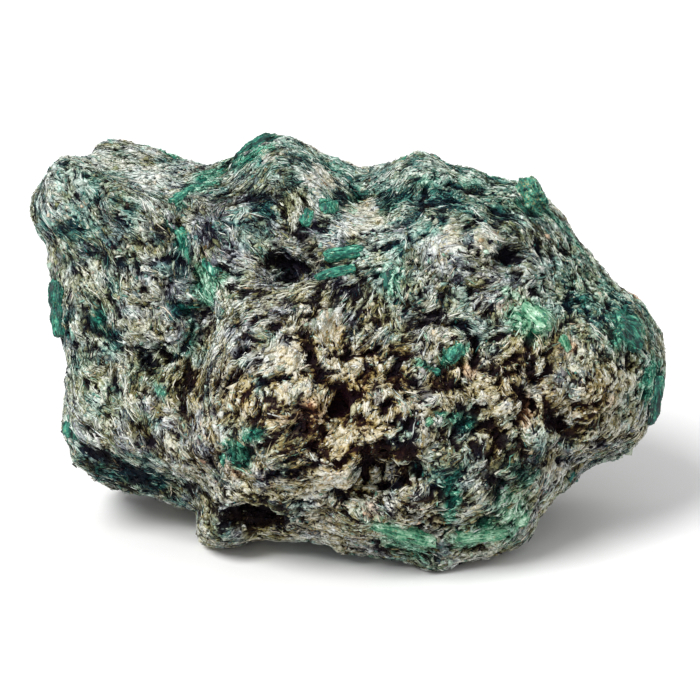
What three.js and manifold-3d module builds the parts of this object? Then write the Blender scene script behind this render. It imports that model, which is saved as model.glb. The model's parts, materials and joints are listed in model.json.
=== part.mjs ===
// Emerald in matrix: a hand-sized lump of dark mica schist with green emerald crystals grown into it.
//
// The stone is drawn on its broad face, which leans back from the vertical. A point of that face has
// x to the right, y up the face and w out of it, all in millimetres from the middle of the stone.
// The group's own frame is +Z up, with its origin on the surface that the stone rests on, under the
// middle of its box.

import * as THREE from "three";
import Module from "manifold-3d";
import { mergeVertices } from "three/addons/utils/BufferGeometryUtils.js";

const wasm = await Module();
wasm.setup();

// Driving dimensions, in millimetres
const LENGTH = 65;
const FRONT_DEPTH = 14.5;
const BACK_DEPTH = 21;
const CENTRE_HEIGHT = 19.2;
const LEAN = THREE.MathUtils.degToRad(20);

// How square the stone's section is: 2 is an ellipse, and more is boxier
const FRONT_SQUARENESS = 2.2;
const BACK_SQUARENESS = 2.7;

// Rings of vertices from the middle of each face to the edge
const FRONT_RINGS = 24;
const BACK_RINGS = 12;
const EDGE_POINTS = 6 * FRONT_RINGS;

// The fracture surface: how far it is thrown about, and over what distance. Plates are blocks of the
// schist that broke off at different levels; they are stretched along the schist's own layers.
const ROUGH = [
  { height: 1.0, spacing: 7.5 },
  { height: 0.55, spacing: 3.2 },
];
const FRONT_PLATES = { height: 0.8, spacing: 4.6 };
const BACK_PLATES = { height: 1.5, spacing: 8.5 };
const PLATE_STRETCH = 1.7;
const PLATE_TURN = THREE.MathUtils.degToRad(28);
const PLATE_GROOVE = 0.22;

// How far the surface may wander sideways between the edge and the middle, and over what distance.
// Near the edge it wanders less, so that the outline stays as drawn.
const FRONT_WANDER = 0.7;
const BACK_WANDER = 3.2;
const WANDER_SPACING = 8.5;
const EDGE_ROUGH_SHARE = 0.6;

// Each crystal sits in a pocket of the matrix with this clearance
const POCKET_GAP = 0.32;

// A lone crystal's bevelled end, as shares of its narrower size and of its radius
const BEVEL = { length: 0.2, radius: 0.72 };

// How the prisms of a cluster are spread, as shares of its size, and tilted, in radians
const CLUSTER = { spread: 0.56, sway: 0.3, turn: 0.95, tilt: 0.25 };

// The stone's edge as seen square on to the broad face, in mm for a stone 65 long, clockwise from the
// left shoulder. The third number is how far the edge stands towards the viewer there.
const EDGE = [
  // left shoulder
  [-32.1, 15.6, 1], [-31.4, 17.2, 2], [-30.1, 19.4, 3], [-29.0, 20.0, 3], [-26.8, 19.6, 1],
  // ridge that rises behind the shoulder
  [-26.4, 20.4, -4], [-25.8, 21.5, -6], [-23.5, 21.9, -7], [-20.9, 21.3, -7], [-16.9, 19.7, -5],
  // saddle, and the crest that carries the longest seam of emerald
  [-14.0, 18.6, -4], [-12.1, 19.7, -3], [-9.7, 20.8, -2.5], [-8.6, 22.1, -2.5], [-4.5, 21.6, -4], [-0.8, 20.1, -5],
  // notch, and the right crest
  [1.5, 19.2, -5], [2.7, 19.3, -6], [3.7, 19.8, -6], [5.2, 19.7, -5], [7.6, 20.6, -3], [9.3, 20.1, -3],
  [11.7, 18.7, -3], [15.5, 17.5, -4],
  // under the tip crystal, and down the right slope
  [17.4, 17.5, -3.5], [18.7, 16.9, -2.5], [20.2, 15.1, -2], [22.8, 12.9, -2], [24.9, 10.6, -2], [27.0, 7.7, -3],
  [28.6, 6.0, -3], [30.0, 4.9, -3], [31.8, 2.0, -3],
  // right end
  [32.4, -0.6, -3], [32.0, -2.8, -3], [31.6, -5.3, -3.5], [30.8, -7.8, -4], [30.0, -9.6, -4],
  // overhang under the right end
  [26.5, -11.0, -4], [24.3, -11.9, -4], [21.5, -14.9, -2], [19.1, -16.9, -1], [18.2, -18.9, 1],
  // front keel
  [14.5, -20.8, 3], [9.7, -21.7, 5], [8.6, -22.5, 5], [5.2, -21.2, 4], [-0.4, -19.9, 2],
  // arch, and the left foot
  [-2.4, -19.1, 1], [-4.8, -18.6, 0], [-9.0, -19.2, -1], [-12.8, -19.9, -2], [-14.8, -19.6, -2],
  [-15.2, -18.5, -2], [-15.0, -16.2, -3],
  // overhang under the left block
  [-17.0, -15.9, -6], [-20.6, -14.8, -6], [-25.8, -13.2, -6], [-28.3, -11.2, -4],
  // left edge
  [-29.0, -7.8, -2], [-28.7, -4.3, -1], [-28.8, -0.7, -1], [-30.3, 3.4, -1], [-30.4, 7.2, 0], [-31.1, 11.3, 0],
  [-32.4, 13.4, 1],
];
const EDGE_DRAWN_LENGTH = 65;

// Swells (height above 0) and furrows (below 0) of the broad face. along and across are half sizes, and
// turn is the angle of the long axis, in degrees anticlockwise from the x axis.
const FRONT_RELIEF = [
  { name: "belly", x: 4.2, y: -7.2, along: 15, across: 9, turn: -10, height: 4.2 },
  { name: "left lobe", x: -8.7, y: -5.4, along: 6.5, across: 7.5, turn: 0, height: 3.6 },
  { name: "step beside the left block", x: -16.3, y: 8.6, along: 7, across: 1.9, turn: -75, height: -2.8 },
  { name: "lower step", x: -15.9, y: -0.8, along: 5.5, across: 1.7, turn: 82, height: -3.2 },
  { name: "hollow of the left block", x: -20.8, y: -1.6, along: 3.4, across: 2.6, turn: -20, height: -2.2 },
  { name: "rib of the left block", x: -23.9, y: 2.4, along: 6, across: 1.4, turn: -72, height: 1.1 },
  { name: "left keel", x: -17.4, y: -9.4, along: 8, across: 1.6, turn: -56, height: 1.6 },
  { name: "undercut", x: -22.6, y: -12.4, along: 8, across: 2.2, turn: -16, height: -2.0 },
  { name: "shelf", x: -23.4, y: 14.2, along: 7, across: 1.7, turn: 4, height: 1.6 },
  { name: "trough behind the shelf", x: -19.0, y: 17.3, along: 6, across: 1.5, turn: 6, height: -1.5 },
  { name: "seam ridge", x: -13.0, y: 17.8, along: 6.5, across: 1.6, turn: 36, height: 1.2 },
  { name: "crest knob", x: -5.1, y: 17.8, along: 3.8, across: 2.8, turn: -20, height: 1.7 },
  { name: "dip in the crest", x: 2.2, y: 17.2, along: 3.4, across: 1.7, turn: 84, height: -1.9 },
  { name: "right crest knob", x: 8.4, y: 17.0, along: 5.5, across: 3.0, turn: -14, height: 2.0 },
  { name: "pale knob", x: 1.4, y: 13.2, along: 2.4, across: 1.7, turn: 40, height: 1.4 },
  { name: "pale ledge", x: 11.2, y: 11.6, along: 5, across: 2.4, turn: -6, height: 1.3 },
  { name: "furrow under the tip", x: 15.5, y: 13.6, along: 4.5, across: 1.2, turn: -28, height: -1.3 },
  { name: "lime knob", x: 18.4, y: 3.0, along: 3.2, across: 2.6, turn: -40, height: 1.3 },
  { name: "right hollow", x: 21.8, y: 6.0, along: 4.2, across: 2.0, turn: -46, height: -1.2 },
  { name: "right swell", x: 27.0, y: -4.3, along: 6, across: 4.4, turn: 62, height: 1.5 },
  { name: "furrow of the right end", x: 22.0, y: -7.4, along: 5, across: 1.6, turn: 72, height: -1.4 },
  { name: "left shelf of the keel", x: 4.6, y: -18.5, along: 7.5, across: 1.4, turn: -28, height: 1.4 },
  { name: "right shelf of the keel", x: 15.4, y: -18.0, along: 5, across: 1.6, turn: 20, height: 1.2 },
  { name: "band above the arch", x: -5.4, y: -14.6, along: 5, across: 1.3, turn: -4, height: 1.2 },
];

// Pits with steep walls, where mica has weathered out. Sizes are half sizes, as above.
const FRONT_PITS = [
  { name: "pit above the twin crystals", x: -6.6, y: 8.2, along: 3.1, across: 1.7, turn: -4, depth: 3.0 },
  { name: "pit beside the blade", x: -17.8, y: 9.7, along: 1.9, across: 1.5, turn: -25, depth: 2.0 },
  { name: "pit on the right shoulder", x: 16.0, y: 9.3, along: 2.1, across: 1.3, turn: 30, depth: 2.2 },
  { name: "great pit of the belly", x: 2.9, y: -11.9, along: 3.2, across: 2.8, turn: 10, depth: 3.8 },
  { name: "its right arm", x: 6.6, y: -10.6, along: 2.0, across: 1.9, turn: 0, depth: 2.4 },
  { name: "cleft of the belly", x: -1.0, y: -5.4, along: 2.7, across: 1.5, turn: 66, depth: 2.5 },
  { name: "pit in the left foot", x: -9.6, y: -16.6, along: 3.6, across: 1.9, turn: -8, depth: 3.2 },
  { name: "pit of the left block", x: -20.4, y: -1.9, along: 2.0, across: 1.6, turn: 0, depth: 1.6 },
  { name: "slot right of the bright crystal", x: 12.8, y: 0.6, along: 2.1, across: 1.2, turn: 80, depth: 2.2 },
  { name: "long slot", x: 17.6, y: -5.6, along: 2.5, across: 1.2, turn: -84, depth: 2.2 },
  { name: "pit of the right end", x: 21.2, y: -6.4, along: 2.0, across: 1.4, turn: -60, depth: 1.8 },
  { name: "pits above the keel", x: 6.6, y: -15.8, along: 1.7, across: 1.3, turn: -20, depth: 2.0 },
];

// The hidden side: broad cleavage steps, in the same terms, seen through the stone from the front.
const BACK_RELIEF = [
  { name: "upper back swell", x: -6, y: 9, along: 12, across: 6, turn: 12, height: 2.6 },
  { name: "right back slab", x: 17, y: 1, along: 7, across: 9, turn: -20, height: -3.0 },
  { name: "left back slab", x: -22, y: 3, along: 6, across: 10, turn: 10, height: -2.2 },
  { name: "step across the back", x: 2, y: 2, along: 16, across: 1.8, turn: -14, height: -1.8 },
  { name: "lower back swell", x: -3, y: -10, along: 15, across: 6, turn: 4, height: 1.8 },
  { name: "back furrow", x: 8, y: 12, along: 6, across: 1.6, turn: 58, height: -1.6 },
];
const BACK_PITS = [
  { name: "back pit left", x: -14, y: 6, along: 3.2, across: 2.2, turn: 30, depth: 2.4 },
  { name: "back pit right", x: 12, y: -3, along: 3.0, across: 2.4, turn: -40, depth: 2.2 },
  { name: "back pit top", x: 3, y: 15, along: 2.6, across: 1.8, turn: 10, depth: 1.8 },
  { name: "hollow underneath", x: -2, y: -15.6, along: 6.5, across: 3.0, turn: -8, depth: 2.6 },
];

// Flat breaks that end the lump. azimuth is measured from the x axis towards y, rise is out of the
// broad face (or behind it, below 0), and reach is how far the break is from the middle of the stone.
const BREAKS = [
  { name: "left block's side", azimuth: 176, rise: 28, reach: 27.5 },
  { name: "left block's face", azimuth: 196, rise: 66, reach: 15.5 },
  { name: "roof behind the shelf", azimuth: 112, rise: -22, reach: 20.5 },
  { name: "back, upper left", azimuth: 128, rise: -52, reach: 20.5 },
  { name: "back, upper right", azimuth: 48, rise: -44, reach: 20 },
  { name: "back, right end", azimuth: 4, rise: -34, reach: 25.5 },
  { name: "back, left end", azimuth: 184, rise: -38, reach: 24.5 },
  { name: "back, middle", azimuth: 90, rise: -82, reach: 20 },
  { name: "right slope", azimuth: 42, rise: 34, reach: 21.5 },
  { name: "right end", azimuth: -22, rise: 40, reach: 24.5 },
  { name: "under the belly", azimuth: -84, rise: 28, reach: 19.6 },
  { name: "heel behind", azimuth: -96, rise: -50, reach: 20.6 },
];
const BREAK_SHARPNESS = 0.85;

// Emerald crystals. x, y and turn are as above, on the front unless side is -1. length, width and thick
// are full sizes, and proud is how much of the thickness stands clear of the matrix. A cluster is
// several stubby prisms grown together.
const CRYSTALS = [
  { name: "crest_emerald", x: -9.6, y: 20.5, turn: 35, length: 5.4, width: 2.2, thick: 2.2, proud: 0.42 },
  { name: "seam_emerald", x: -15.8, y: 16.3, turn: 37, length: 6.8, width: 1.2, thick: 1.3, proud: 0.4 },
  { name: "blade_emerald", x: -17.3, y: 11.1, turn: -65, length: 4.6, width: 0.95, thick: 1.2, proud: 0.5 },
  { name: "step_emerald", x: -14.6, y: 7.4, turn: -80, length: 4.6, width: 2.3, thick: 1.8, proud: 0.35, cluster: 2 },
  { name: "round_emerald", x: -2.2, y: 14.5, turn: 20, length: 2.1, width: 2.0, thick: 2.6, proud: 0.42 },
  { name: "grain_emerald", x: -4.3, y: 13.3, turn: 75, length: 1.9, width: 1.4, thick: 1.5, proud: 0.35 },
  { name: "twin_emerald_upper", x: -0.6, y: 9.4, turn: 6, length: 4.5, width: 1.3, thick: 1.7, proud: 0.5 },
  { name: "twin_emerald_lower", x: -1.5, y: 7.4, turn: 10, length: 4.8, width: 1.1, thick: 1.6, proud: 0.5 },
  { name: "column_emerald", x: 4.2, y: 6.7, turn: -84, length: 4.4, width: 1.7, thick: 1.5, proud: 0.3 },
  { name: "tip_emerald", x: 18.7, y: 15.6, turn: -68, length: 4.8, width: 2.7, thick: 2.8, proud: 0.5 },
  { name: "slope_emerald", x: 22.3, y: 11.7, turn: -50, length: 5.6, width: 1.5, thick: 1.5, proud: 0.34 },
  { name: "deep_emerald", x: 28.2, y: 2.3, turn: -30, length: 4.2, width: 3.4, thick: 2.2, proud: 0.3, cluster: 3 },
  { name: "end_emerald", x: 31.0, y: -4.6, turn: 82, length: 6.4, width: 2.2, thick: 2.2, proud: 0.34 },
  { name: "lime_emerald", x: 18.0, y: 3.3, turn: -48, length: 3.8, width: 2.7, thick: 2.2, proud: 0.36, cluster: 3 },
  { name: "lime_emerald_small", x: 21.2, y: 0.9, turn: -70, length: 2.0, width: 1.2, thick: 1.4, proud: 0.4 },
  { name: "bright_emerald", x: 10.6, y: -0.2, turn: 24, length: 2.8, width: 1.9, thick: 1.8, proud: 0.4, cluster: 2 },
  { name: "sliver_emerald", x: 7.7, y: -1.8, turn: -8, length: 3.2, width: 0.9, thick: 1.2, proud: 0.42 },
  { name: "lobe_emerald_upper", x: -9.3, y: -8.2, turn: 60, length: 1.9, width: 1.5, thick: 1.5, proud: 0.42, cluster: 2 },
  { name: "lobe_emerald_lower", x: -11.2, y: -10.4, turn: 35, length: 2.9, width: 2.0, thick: 1.7, proud: 0.38, cluster: 2 },
  { name: "left_emerald", x: -29.6, y: 4.4, turn: -79, length: 6.6, width: 2.4, thick: 2.2, proud: 0.36 },
  { name: "heel_emerald", x: -27.9, y: -7.6, turn: -80, length: 2.2, width: 1.7, thick: 1.6, proud: 0.36 },
  { name: "keel_emerald_left", x: 5.4, y: -19.2, turn: -33, length: 8.0, width: 1.7, thick: 1.9, proud: 0.36 },
  { name: "keel_emerald_right", x: 13.3, y: -19.5, turn: 17, length: 6.2, width: 1.7, thick: 1.8, proud: 0.34 },
  { name: "mint_emerald", x: 17.2, y: -16.4, turn: 25, length: 2.6, width: 1.9, thick: 1.8, proud: 0.36, cluster: 2 },
  { name: "cleft_emerald", x: 10.5, y: -17.0, turn: 84, length: 3.2, width: 1.4, thick: 1.5, proud: 0.34 },
  { name: "pale_emerald", x: 8.3, y: -5.8, turn: 31, length: 4.4, width: 0.9, thick: 1.2, proud: 0.42 },
  { name: "back_emerald_upper", x: -9, y: 10, turn: 28, length: 6.2, width: 2.6, thick: 2.4, proud: 0.4, side: -1 },
  { name: "back_emerald_middle", x: 6, y: 4, turn: -35, length: 5.0, width: 3.6, thick: 2.6, proud: 0.34, side: -1, cluster: 2 },
  { name: "back_emerald_left", x: 22, y: 3, turn: 70, length: 4.4, width: 1.8, thick: 2.0, proud: 0.4, side: -1 },
  { name: "back_emerald_lower", x: -14, y: -4, turn: -12, length: 4.8, width: 2.0, thick: 2.0, proud: 0.38, side: -1, cluster: 2 },
];

// Repeatable noise

// A number from 0 to 1 that depends only on a grid point.
function hash(i, j, k) {
  const mixed = Math.sin(i * 127.1 + j * 311.7 + k * 74.7) * 43758.5453;
  return mixed - Math.floor(mixed);
}

// Smooth noise from -1 to 1, one swell per unit of distance.
function noise(x, y, z) {
  const [i, j, k] = [x, y, z].map(Math.floor);
  const [u, v, w] = [x - i, y - j, z - k].map((t) => t * t * (3 - 2 * t));
  const { lerp } = THREE.MathUtils;
  const row = (dj, dk) => lerp(hash(i, j + dj, k + dk), hash(i + 1, j + dj, k + dk), u);
  const sheet = (dk) => lerp(row(0, dk), row(1, dk), v);
  return 2 * lerp(sheet(0), sheet(1), w) - 1;
}

// Blocks of random level from -1 to 1, with a groove along the joints between them.
function blocks(x, y, z) {
  const near = [];
  const base = [x, y, z].map(Math.floor);
  for (const di of [-1, 0, 1]) {
    for (const dj of [-1, 0, 1]) {
      for (const dk of [-1, 0, 1]) {
        const [i, j, k] = [base[0] + di, base[1] + dj, base[2] + dk];
        const [a, b, c] = [hash(i, j, k), hash(j + 9, k, i), hash(k, i + 5, j)];
        const away = Math.hypot(i + a - x, j + b - y, k + c - z);
        near.push({ away, level: 2 * hash(i + 3, j + 7, k + 1) - 1 });
      }
    }
  }
  const [first, second] = near.sort((p, q) => p.away - q.away);
  return first.level * THREE.MathUtils.smoothstep(second.away - first.away, 0, PLATE_GROOVE);
}

// A stream of numbers from 0 to 1 for one crystal.
function dice(seed) {
  let count = 0;
  return () => hash(seed, (count += 1), 17);
}

// The stone's surface

const scaleOfEdge = LENGTH / EDGE_DRAWN_LENGTH;
const edgePoints = EDGE.map(([x, y, w]) => new THREE.Vector3(x, y, w).multiplyScalar(scaleOfEdge));
const edgeAngles = edgePoints.map((p) => Math.atan2(p.y, p.x));

// The edge at an angle about the middle of the face.
function edgeAt(angle) {
  const ahead = (from) => THREE.MathUtils.euclideanModulo(from, 2 * Math.PI);
  const count = edgePoints.length;
  for (let i = 0; i < count; i += 1) {
    const next = (i + 1) % count;
    const span = ahead(edgeAngles[i] - edgeAngles[next]);
    if (ahead(edgeAngles[i] - angle) <= span) {
      const [a, b] = [edgePoints[i], edgePoints[next]];
      const [dx, dy] = [Math.cos(angle), Math.sin(angle)];
      const share = (a.x * dy - a.y * dx) / ((a.x - b.x) * dy - (a.y - b.y) * dx);
      return a.clone().lerp(b, THREE.MathUtils.clamp(share, 0, 1));
    }
  }
  throw new Error("the edge leaves a gap at angle " + angle);
}

// Points at even steps along the edge, which is closed.
function evenEdge(count) {
  const path = new THREE.CurvePath();
  edgePoints.forEach((point, i) => {
    path.add(new THREE.LineCurve3(point, edgePoints[(i + 1) % edgePoints.length]));
  });
  return Array.from({ length: count }, (_, i) => path.getPointAt(i / count));
}

// Where a point lies in a feature's own axes, in half sizes.
function placeIn(feature, x, y) {
  const turn = THREE.MathUtils.degToRad(feature.turn);
  const [dx, dy] = [x - feature.x, y - feature.y];
  const u = (dx * Math.cos(turn) + dy * Math.sin(turn)) / feature.along;
  const v = (-dx * Math.sin(turn) + dy * Math.cos(turn)) / feature.across;
  return u * u + v * v;
}

function relief(features, pits, x, y) {
  const swells = features.reduce((sum, f) => sum + f.height * Math.exp(-placeIn(f, x, y)), 0);
  const holes = pits.reduce((sum, p) => {
    const away = placeIn(p, x, y);
    return away < 1 ? sum + p.depth * (1 - away * away) : sum;
  }, 0);
  return swells - holes;
}

function roughness(x, y, w, side) {
  const swells = ROUGH.reduce(
    (sum, { height, spacing }) => sum + height * noise(x / spacing, y / spacing + spacing, w / spacing),
    0,
  );
  const { height, spacing } = side > 0 ? FRONT_PLATES : BACK_PLATES;
  const along = (x * Math.cos(PLATE_TURN) + y * Math.sin(PLATE_TURN)) / PLATE_STRETCH;
  const across = -x * Math.sin(PLATE_TURN) + y * Math.cos(PLATE_TURN);
  return swells + height * blocks(along / spacing, across / spacing, w / spacing);
}

const breakPlanes = BREAKS.map(({ azimuth, rise, reach }) => {
  const [turn, lift] = [azimuth, rise].map(THREE.MathUtils.degToRad);
  const normal = new THREE.Vector3(Math.cos(turn) * Math.cos(lift), Math.sin(turn) * Math.cos(lift), Math.sin(lift));
  return { normal, reach };
});

// Presses a point back towards any break that it stands beyond.
function breakOff(point, share) {
  for (const { normal, reach } of breakPlanes) {
    const beyond = point.dot(normal) - reach;
    if (beyond > 0) point.addScaledVector(normal, -beyond * share);
  }
  return point;
}

// A point of the surface. reach is 0 in the middle of a face and 1 at the edge, and side is 1 on the
// broad face and -1 behind.
function skin(edge, reach, side) {
  const [depth, squareness] = side > 0 ? [FRONT_DEPTH, FRONT_SQUARENESS] : [BACK_DEPTH, BACK_SQUARENESS];
  const [features, pits] = side > 0 ? [FRONT_RELIEF, FRONT_PITS] : [BACK_RELIEF, BACK_PITS];
  const [x, y] = [edge.x * reach, edge.y * reach];
  const dome = depth * (1 - reach ** squareness) ** (1 / squareness);
  const inside = 1 - reach ** 10;
  const point = new THREE.Vector3(x, y, edge.w0 * reach ** 3 + side * dome);
  breakOff(point, BREAK_SHARPNESS * inside);
  const room = 0.8 * (1 - reach) * Math.hypot(edge.x, edge.y);
  const wander = Math.min(room, side > 0 ? FRONT_WANDER : BACK_WANDER);
  const [u, v, t] = [point.x, point.y, point.z].map((value) => value / WANDER_SPACING);
  const rough = roughness(point.x, point.y, point.z, side);
  const height = relief(features, pits, x, y) * inside + rough * (1 - (1 - EDGE_ROUGH_SHARE) * reach ** 10);
  const out = new THREE.Vector3(x / 2, y / 2, side * depth * (1 - 0.8 * reach ** 10)).normalize();
  point.addScaledVector(out, height);
  return point.add(new THREE.Vector3(noise(u, v, t + 31), noise(u, v, t + 47), 0).multiplyScalar(wander));
}

function edgePoint(point) {
  return { x: point.x, y: point.y, w0: point.z };
}

// The surface at a place on the face, kept just inside the edge.
function surfaceAt(x, y, side) {
  const edge = edgeAt(Math.atan2(y, x));
  const reach = Math.min(0.995, Math.hypot(x, y) / Math.hypot(edge.x, edge.y));
  return skin(edgePoint(edge), reach, side);
}

// Triangles between two closed rings of vertices, each { start, count }, outer ring first.
function zip(outer, inner, triangles, side) {
  let [i, j] = [0, 0];
  while (i < outer.count || j < inner.count) {
    const outerTurn = j >= inner.count || (i < outer.count && (i + 1) / outer.count <= (j + 1) / inner.count);
    const a = outer.start + (i % outer.count);
    const b = inner.start + (j % inner.count);
    let c;
    if (outerTurn) {
      i += 1;
      c = outer.start + (i % outer.count);
    } else {
      j += 1;
      c = inner.start + (j % inner.count);
    }
    if (a !== b && b !== c && a !== c) triangles.push(...(side > 0 ? [a, b, c] : [a, c, b]));
  }
}

// The whole lump, before it is cut flat below and pocketed for the crystals.
function lumpGeometry() {
  const places = [];
  const triangles = [];
  const addRing = (count, reach, side) => {
    const start = places.length;
    evenEdge(count).forEach((point) => places.push(skin(edgePoint(point), reach, side)));
    return { start, count };
  };
  const rim = addRing(EDGE_POINTS, 1, 1);
  for (const side of [1, -1]) {
    const rings = side > 0 ? FRONT_RINGS : BACK_RINGS;
    let outer = rim;
    for (let ring = rings - 1; ring >= 0; ring -= 1) {
      const reach = Math.sin((Math.PI / 2) * (ring / rings));
      const count = ring === 0 ? 1 : Math.round((EDGE_POINTS * ring) / rings / 6) * 6;
      const inner = addRing(count, reach, side);
      zip(outer, inner, triangles, side);
      outer = inner;
    }
  }
  return new THREE.BufferGeometry().setFromPoints(places).setIndex(triangles);
}

// Crystals

// A six-sided prism along x. Its flat faces are a little uneven, a lone crystal has one bevelled end,
// and grow makes it larger by that much all round, for its pocket.
function prismGeometry(length, width, thick, roll, grow, bevelled) {
  const bevel = BEVEL.length * Math.min(length, width);
  const widest = 1 / Math.cos(Math.PI / 6);
  const half = length / 2 + grow;
  const end = bevelled ? [[1, half - bevel], [BEVEL.radius, half]] : [[1, half]];
  const profile = [[0, -half], [1, -half], ...end, [0, half]].map(
    ([radius, along]) => new THREE.Vector2(radius, along),
  );
  const geometry = new THREE.LatheGeometry(profile, 6).rotateZ(Math.PI / 2);
  const sides = Array.from({ length: 6 }, () => 0.9 + 0.2 * roll());
  const position = geometry.getAttribute("position");
  for (let i = 0; i < position.count; i += 1) {
    const [x, y, z] = [position.getX(i), position.getY(i), position.getZ(i)];
    const corner = Math.round((Math.atan2(z, y) / Math.PI) * 3 + 6) % 6;
    const radial = y === 0 && z === 0 ? 1 : sides[corner];
    position.setXYZ(
      i,
      x,
      y * (widest * radial * (width / 2) + grow * widest),
      z * (widest * radial * (thick / 2) + grow * widest),
    );
  }
  return geometry;
}

function solidOf(geometry) {
  const bare = geometry.clone();
  bare.deleteAttribute("normal");
  bare.deleteAttribute("uv");
  const merged = mergeVertices(bare, 1e-4);
  const solid = new wasm.Manifold(
    new wasm.Mesh({
      numProp: 3,
      vertProperties: merged.attributes.position.array,
      triVerts: new Uint32Array(merged.index.array),
    }),
  );
  return solid;
}

// The largest body of a solid, as a geometry.
function geometryOf(solid) {
  const [largest] = solid.decompose().sort((a, b) => b.volume() - a.volume());
  const { numVert, numProp, vertProperties, triVerts } = largest.getMesh();
  const places = new Float32Array(numVert * 3);
  for (let i = 0; i < numVert; i += 1) {
    places.set(vertProperties.subarray(i * numProp, i * numProp + 3), i * 3);
  }
  const geometry = new THREE.BufferGeometry();
  geometry.setAttribute("position", new THREE.BufferAttribute(places, 3));
  geometry.setIndex(new THREE.BufferAttribute(triVerts, 1));
  geometry.computeVertexNormals();
  return geometry;
}

// One crystal or cluster in its own axes: x along it and z out of the stone.
function crystalSolid(crystal, seed, grow) {
  const roll = dice(seed);
  const { length, width, thick, cluster = 1 } = crystal;
  if (cluster === 1) return solidOf(prismGeometry(length, width, thick, roll, grow, grow === 0));
  let joined;
  for (let i = 0; i < cluster; i += 1) {
    const along = (i / (cluster - 1) - 0.5) * length * CLUSTER.spread;
    const size = [length * (0.46 + 0.2 * roll()), width * (0.66 + 0.24 * roll()), thick * 0.85];
    const one = prismGeometry(...size, roll, grow, false)
      .rotateZ((2 * roll() - 1) * CLUSTER.turn)
      .rotateY((2 * roll() - 1) * CLUSTER.tilt)
      .translate(along, (roll() - 0.5) * width * CLUSTER.sway, (roll() - 0.5) * thick * CLUSTER.sway);
    const solid = solidOf(one);
    joined = joined ? joined.add(solid) : solid;
  }
  return joined;
}

// Lays a crystal on the stone: its long axis follows the surface, and it is sunk to leave proud clear.
function layOnStone(mesh, crystal) {
  const { x, y, turn, length, width, thick, proud, side = 1 } = crystal;
  const angle = THREE.MathUtils.degToRad(turn);
  const step = (along, across) =>
    surfaceAt(
      x + along * Math.cos(angle) - across * Math.sin(angle),
      y + along * Math.sin(angle) + across * Math.cos(angle),
      side,
    );
  const axis = step(length * 0.42, 0).sub(step(-length * 0.42, 0)).normalize();
  const wide = step(0, width * 0.7).sub(step(0, -width * 0.7)).normalize();
  const out = axis.clone().cross(wide).multiplyScalar(side).normalize();
  const beside = out.clone().cross(axis);
  mesh.quaternion.setFromRotationMatrix(new THREE.Matrix4().makeBasis(axis, beside, out));
  mesh.position.copy(step(0, 0)).addScaledVector(out, thick * (proud - 0.5));
}

const EMERALD = { deep: 0x0f6b58, green: 0x1f8f62, blue: 0x1b6a72, lime: 0x7fc98f, mint: 0xa6d3bb, pale: 0x8fb59a };
const COLOUR_OF = {
  lime_emerald: EMERALD.lime,
  lime_emerald_small: EMERALD.lime,
  mint_emerald: EMERALD.mint,
  keel_emerald_left: EMERALD.mint,
  keel_emerald_right: EMERALD.mint,
  pale_emerald: EMERALD.pale,
  column_emerald: EMERALD.blue,
  left_emerald: EMERALD.deep,
  end_emerald: EMERALD.deep,
  crest_emerald: EMERALD.deep,
  deep_emerald: EMERALD.deep,
};

function emeraldMaterial(name) {
  return new THREE.MeshStandardMaterial({
    color: COLOUR_OF[name] ?? EMERALD.green,
    roughness: 0.38,
    metalness: 0,
  });
}

// Assembly

// Everything drawn on the broad face hangs in this group, which leans back and stands at its height.
const face = new THREE.Group();
face.rotation.x = Math.PI / 2 - LEAN;
face.position.z = CENTRE_HEIGHT;
const stone = new THREE.Group();
stone.add(face);

const crystalMeshes = CRYSTALS.map((crystal, i) => {
  const mesh = new THREE.Mesh(geometryOf(crystalSolid(crystal, i + 1, 0)), emeraldMaterial(crystal.name));
  mesh.name = crystal.name;
  layOnStone(mesh, crystal);
  face.add(mesh);
  return mesh;
});
stone.updateMatrixWorld(true);

// The lump in the group's own frame, cut off where it rests, less a pocket for each crystal.
function matrixSolid() {
  const below = new THREE.BoxGeometry(4 * LENGTH, 4 * LENGTH, LENGTH).translate(0, 0, -LENGTH / 2);
  let solid = solidOf(lumpGeometry().applyMatrix4(face.matrixWorld)).subtract(solidOf(below));
  CRYSTALS.forEach((crystal, i) => {
    const pocket = crystalSolid(crystal, i + 1, POCKET_GAP);
    const placed = geometryOf(pocket).applyMatrix4(crystalMeshes[i].matrixWorld);
    solid = solid.subtract(solidOf(placed));
  });
  return solid;
}

const matrix = new THREE.Mesh(
  geometryOf(matrixSolid()),
  new THREE.MeshStandardMaterial({ color: 0x77756a, roughness: 0.75, metalness: 0, flatShading: true }),
);
matrix.name = "matrix";
stone.add(matrix);

// The origin goes under the middle of the stone's box.
const box = new THREE.Box3().setFromObject(stone);
const middle = box.getCenter(new THREE.Vector3());
for (const child of stone.children) {
  child.position.x -= middle.x;
  child.position.y -= middle.y;
  child.position.z -= box.min.z;
}

export default stone;
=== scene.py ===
# %% [markdown]
# Emerald in matrix, dressed for its picture. The stone is mica schist: millions of silver, cream and
# near-black flakes that lie in flowing layers, with green emerald grown between them. The packed solids
# give its form. This lesson adds the skin: a finely broken body, a coat of real flakes, and crystals
# with striped and chipped faces. Lengths are in millimetres until a mesh is handed to Blender.

import itertools
import json
import math
from collections import namedtuple
from types import SimpleNamespace

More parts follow.
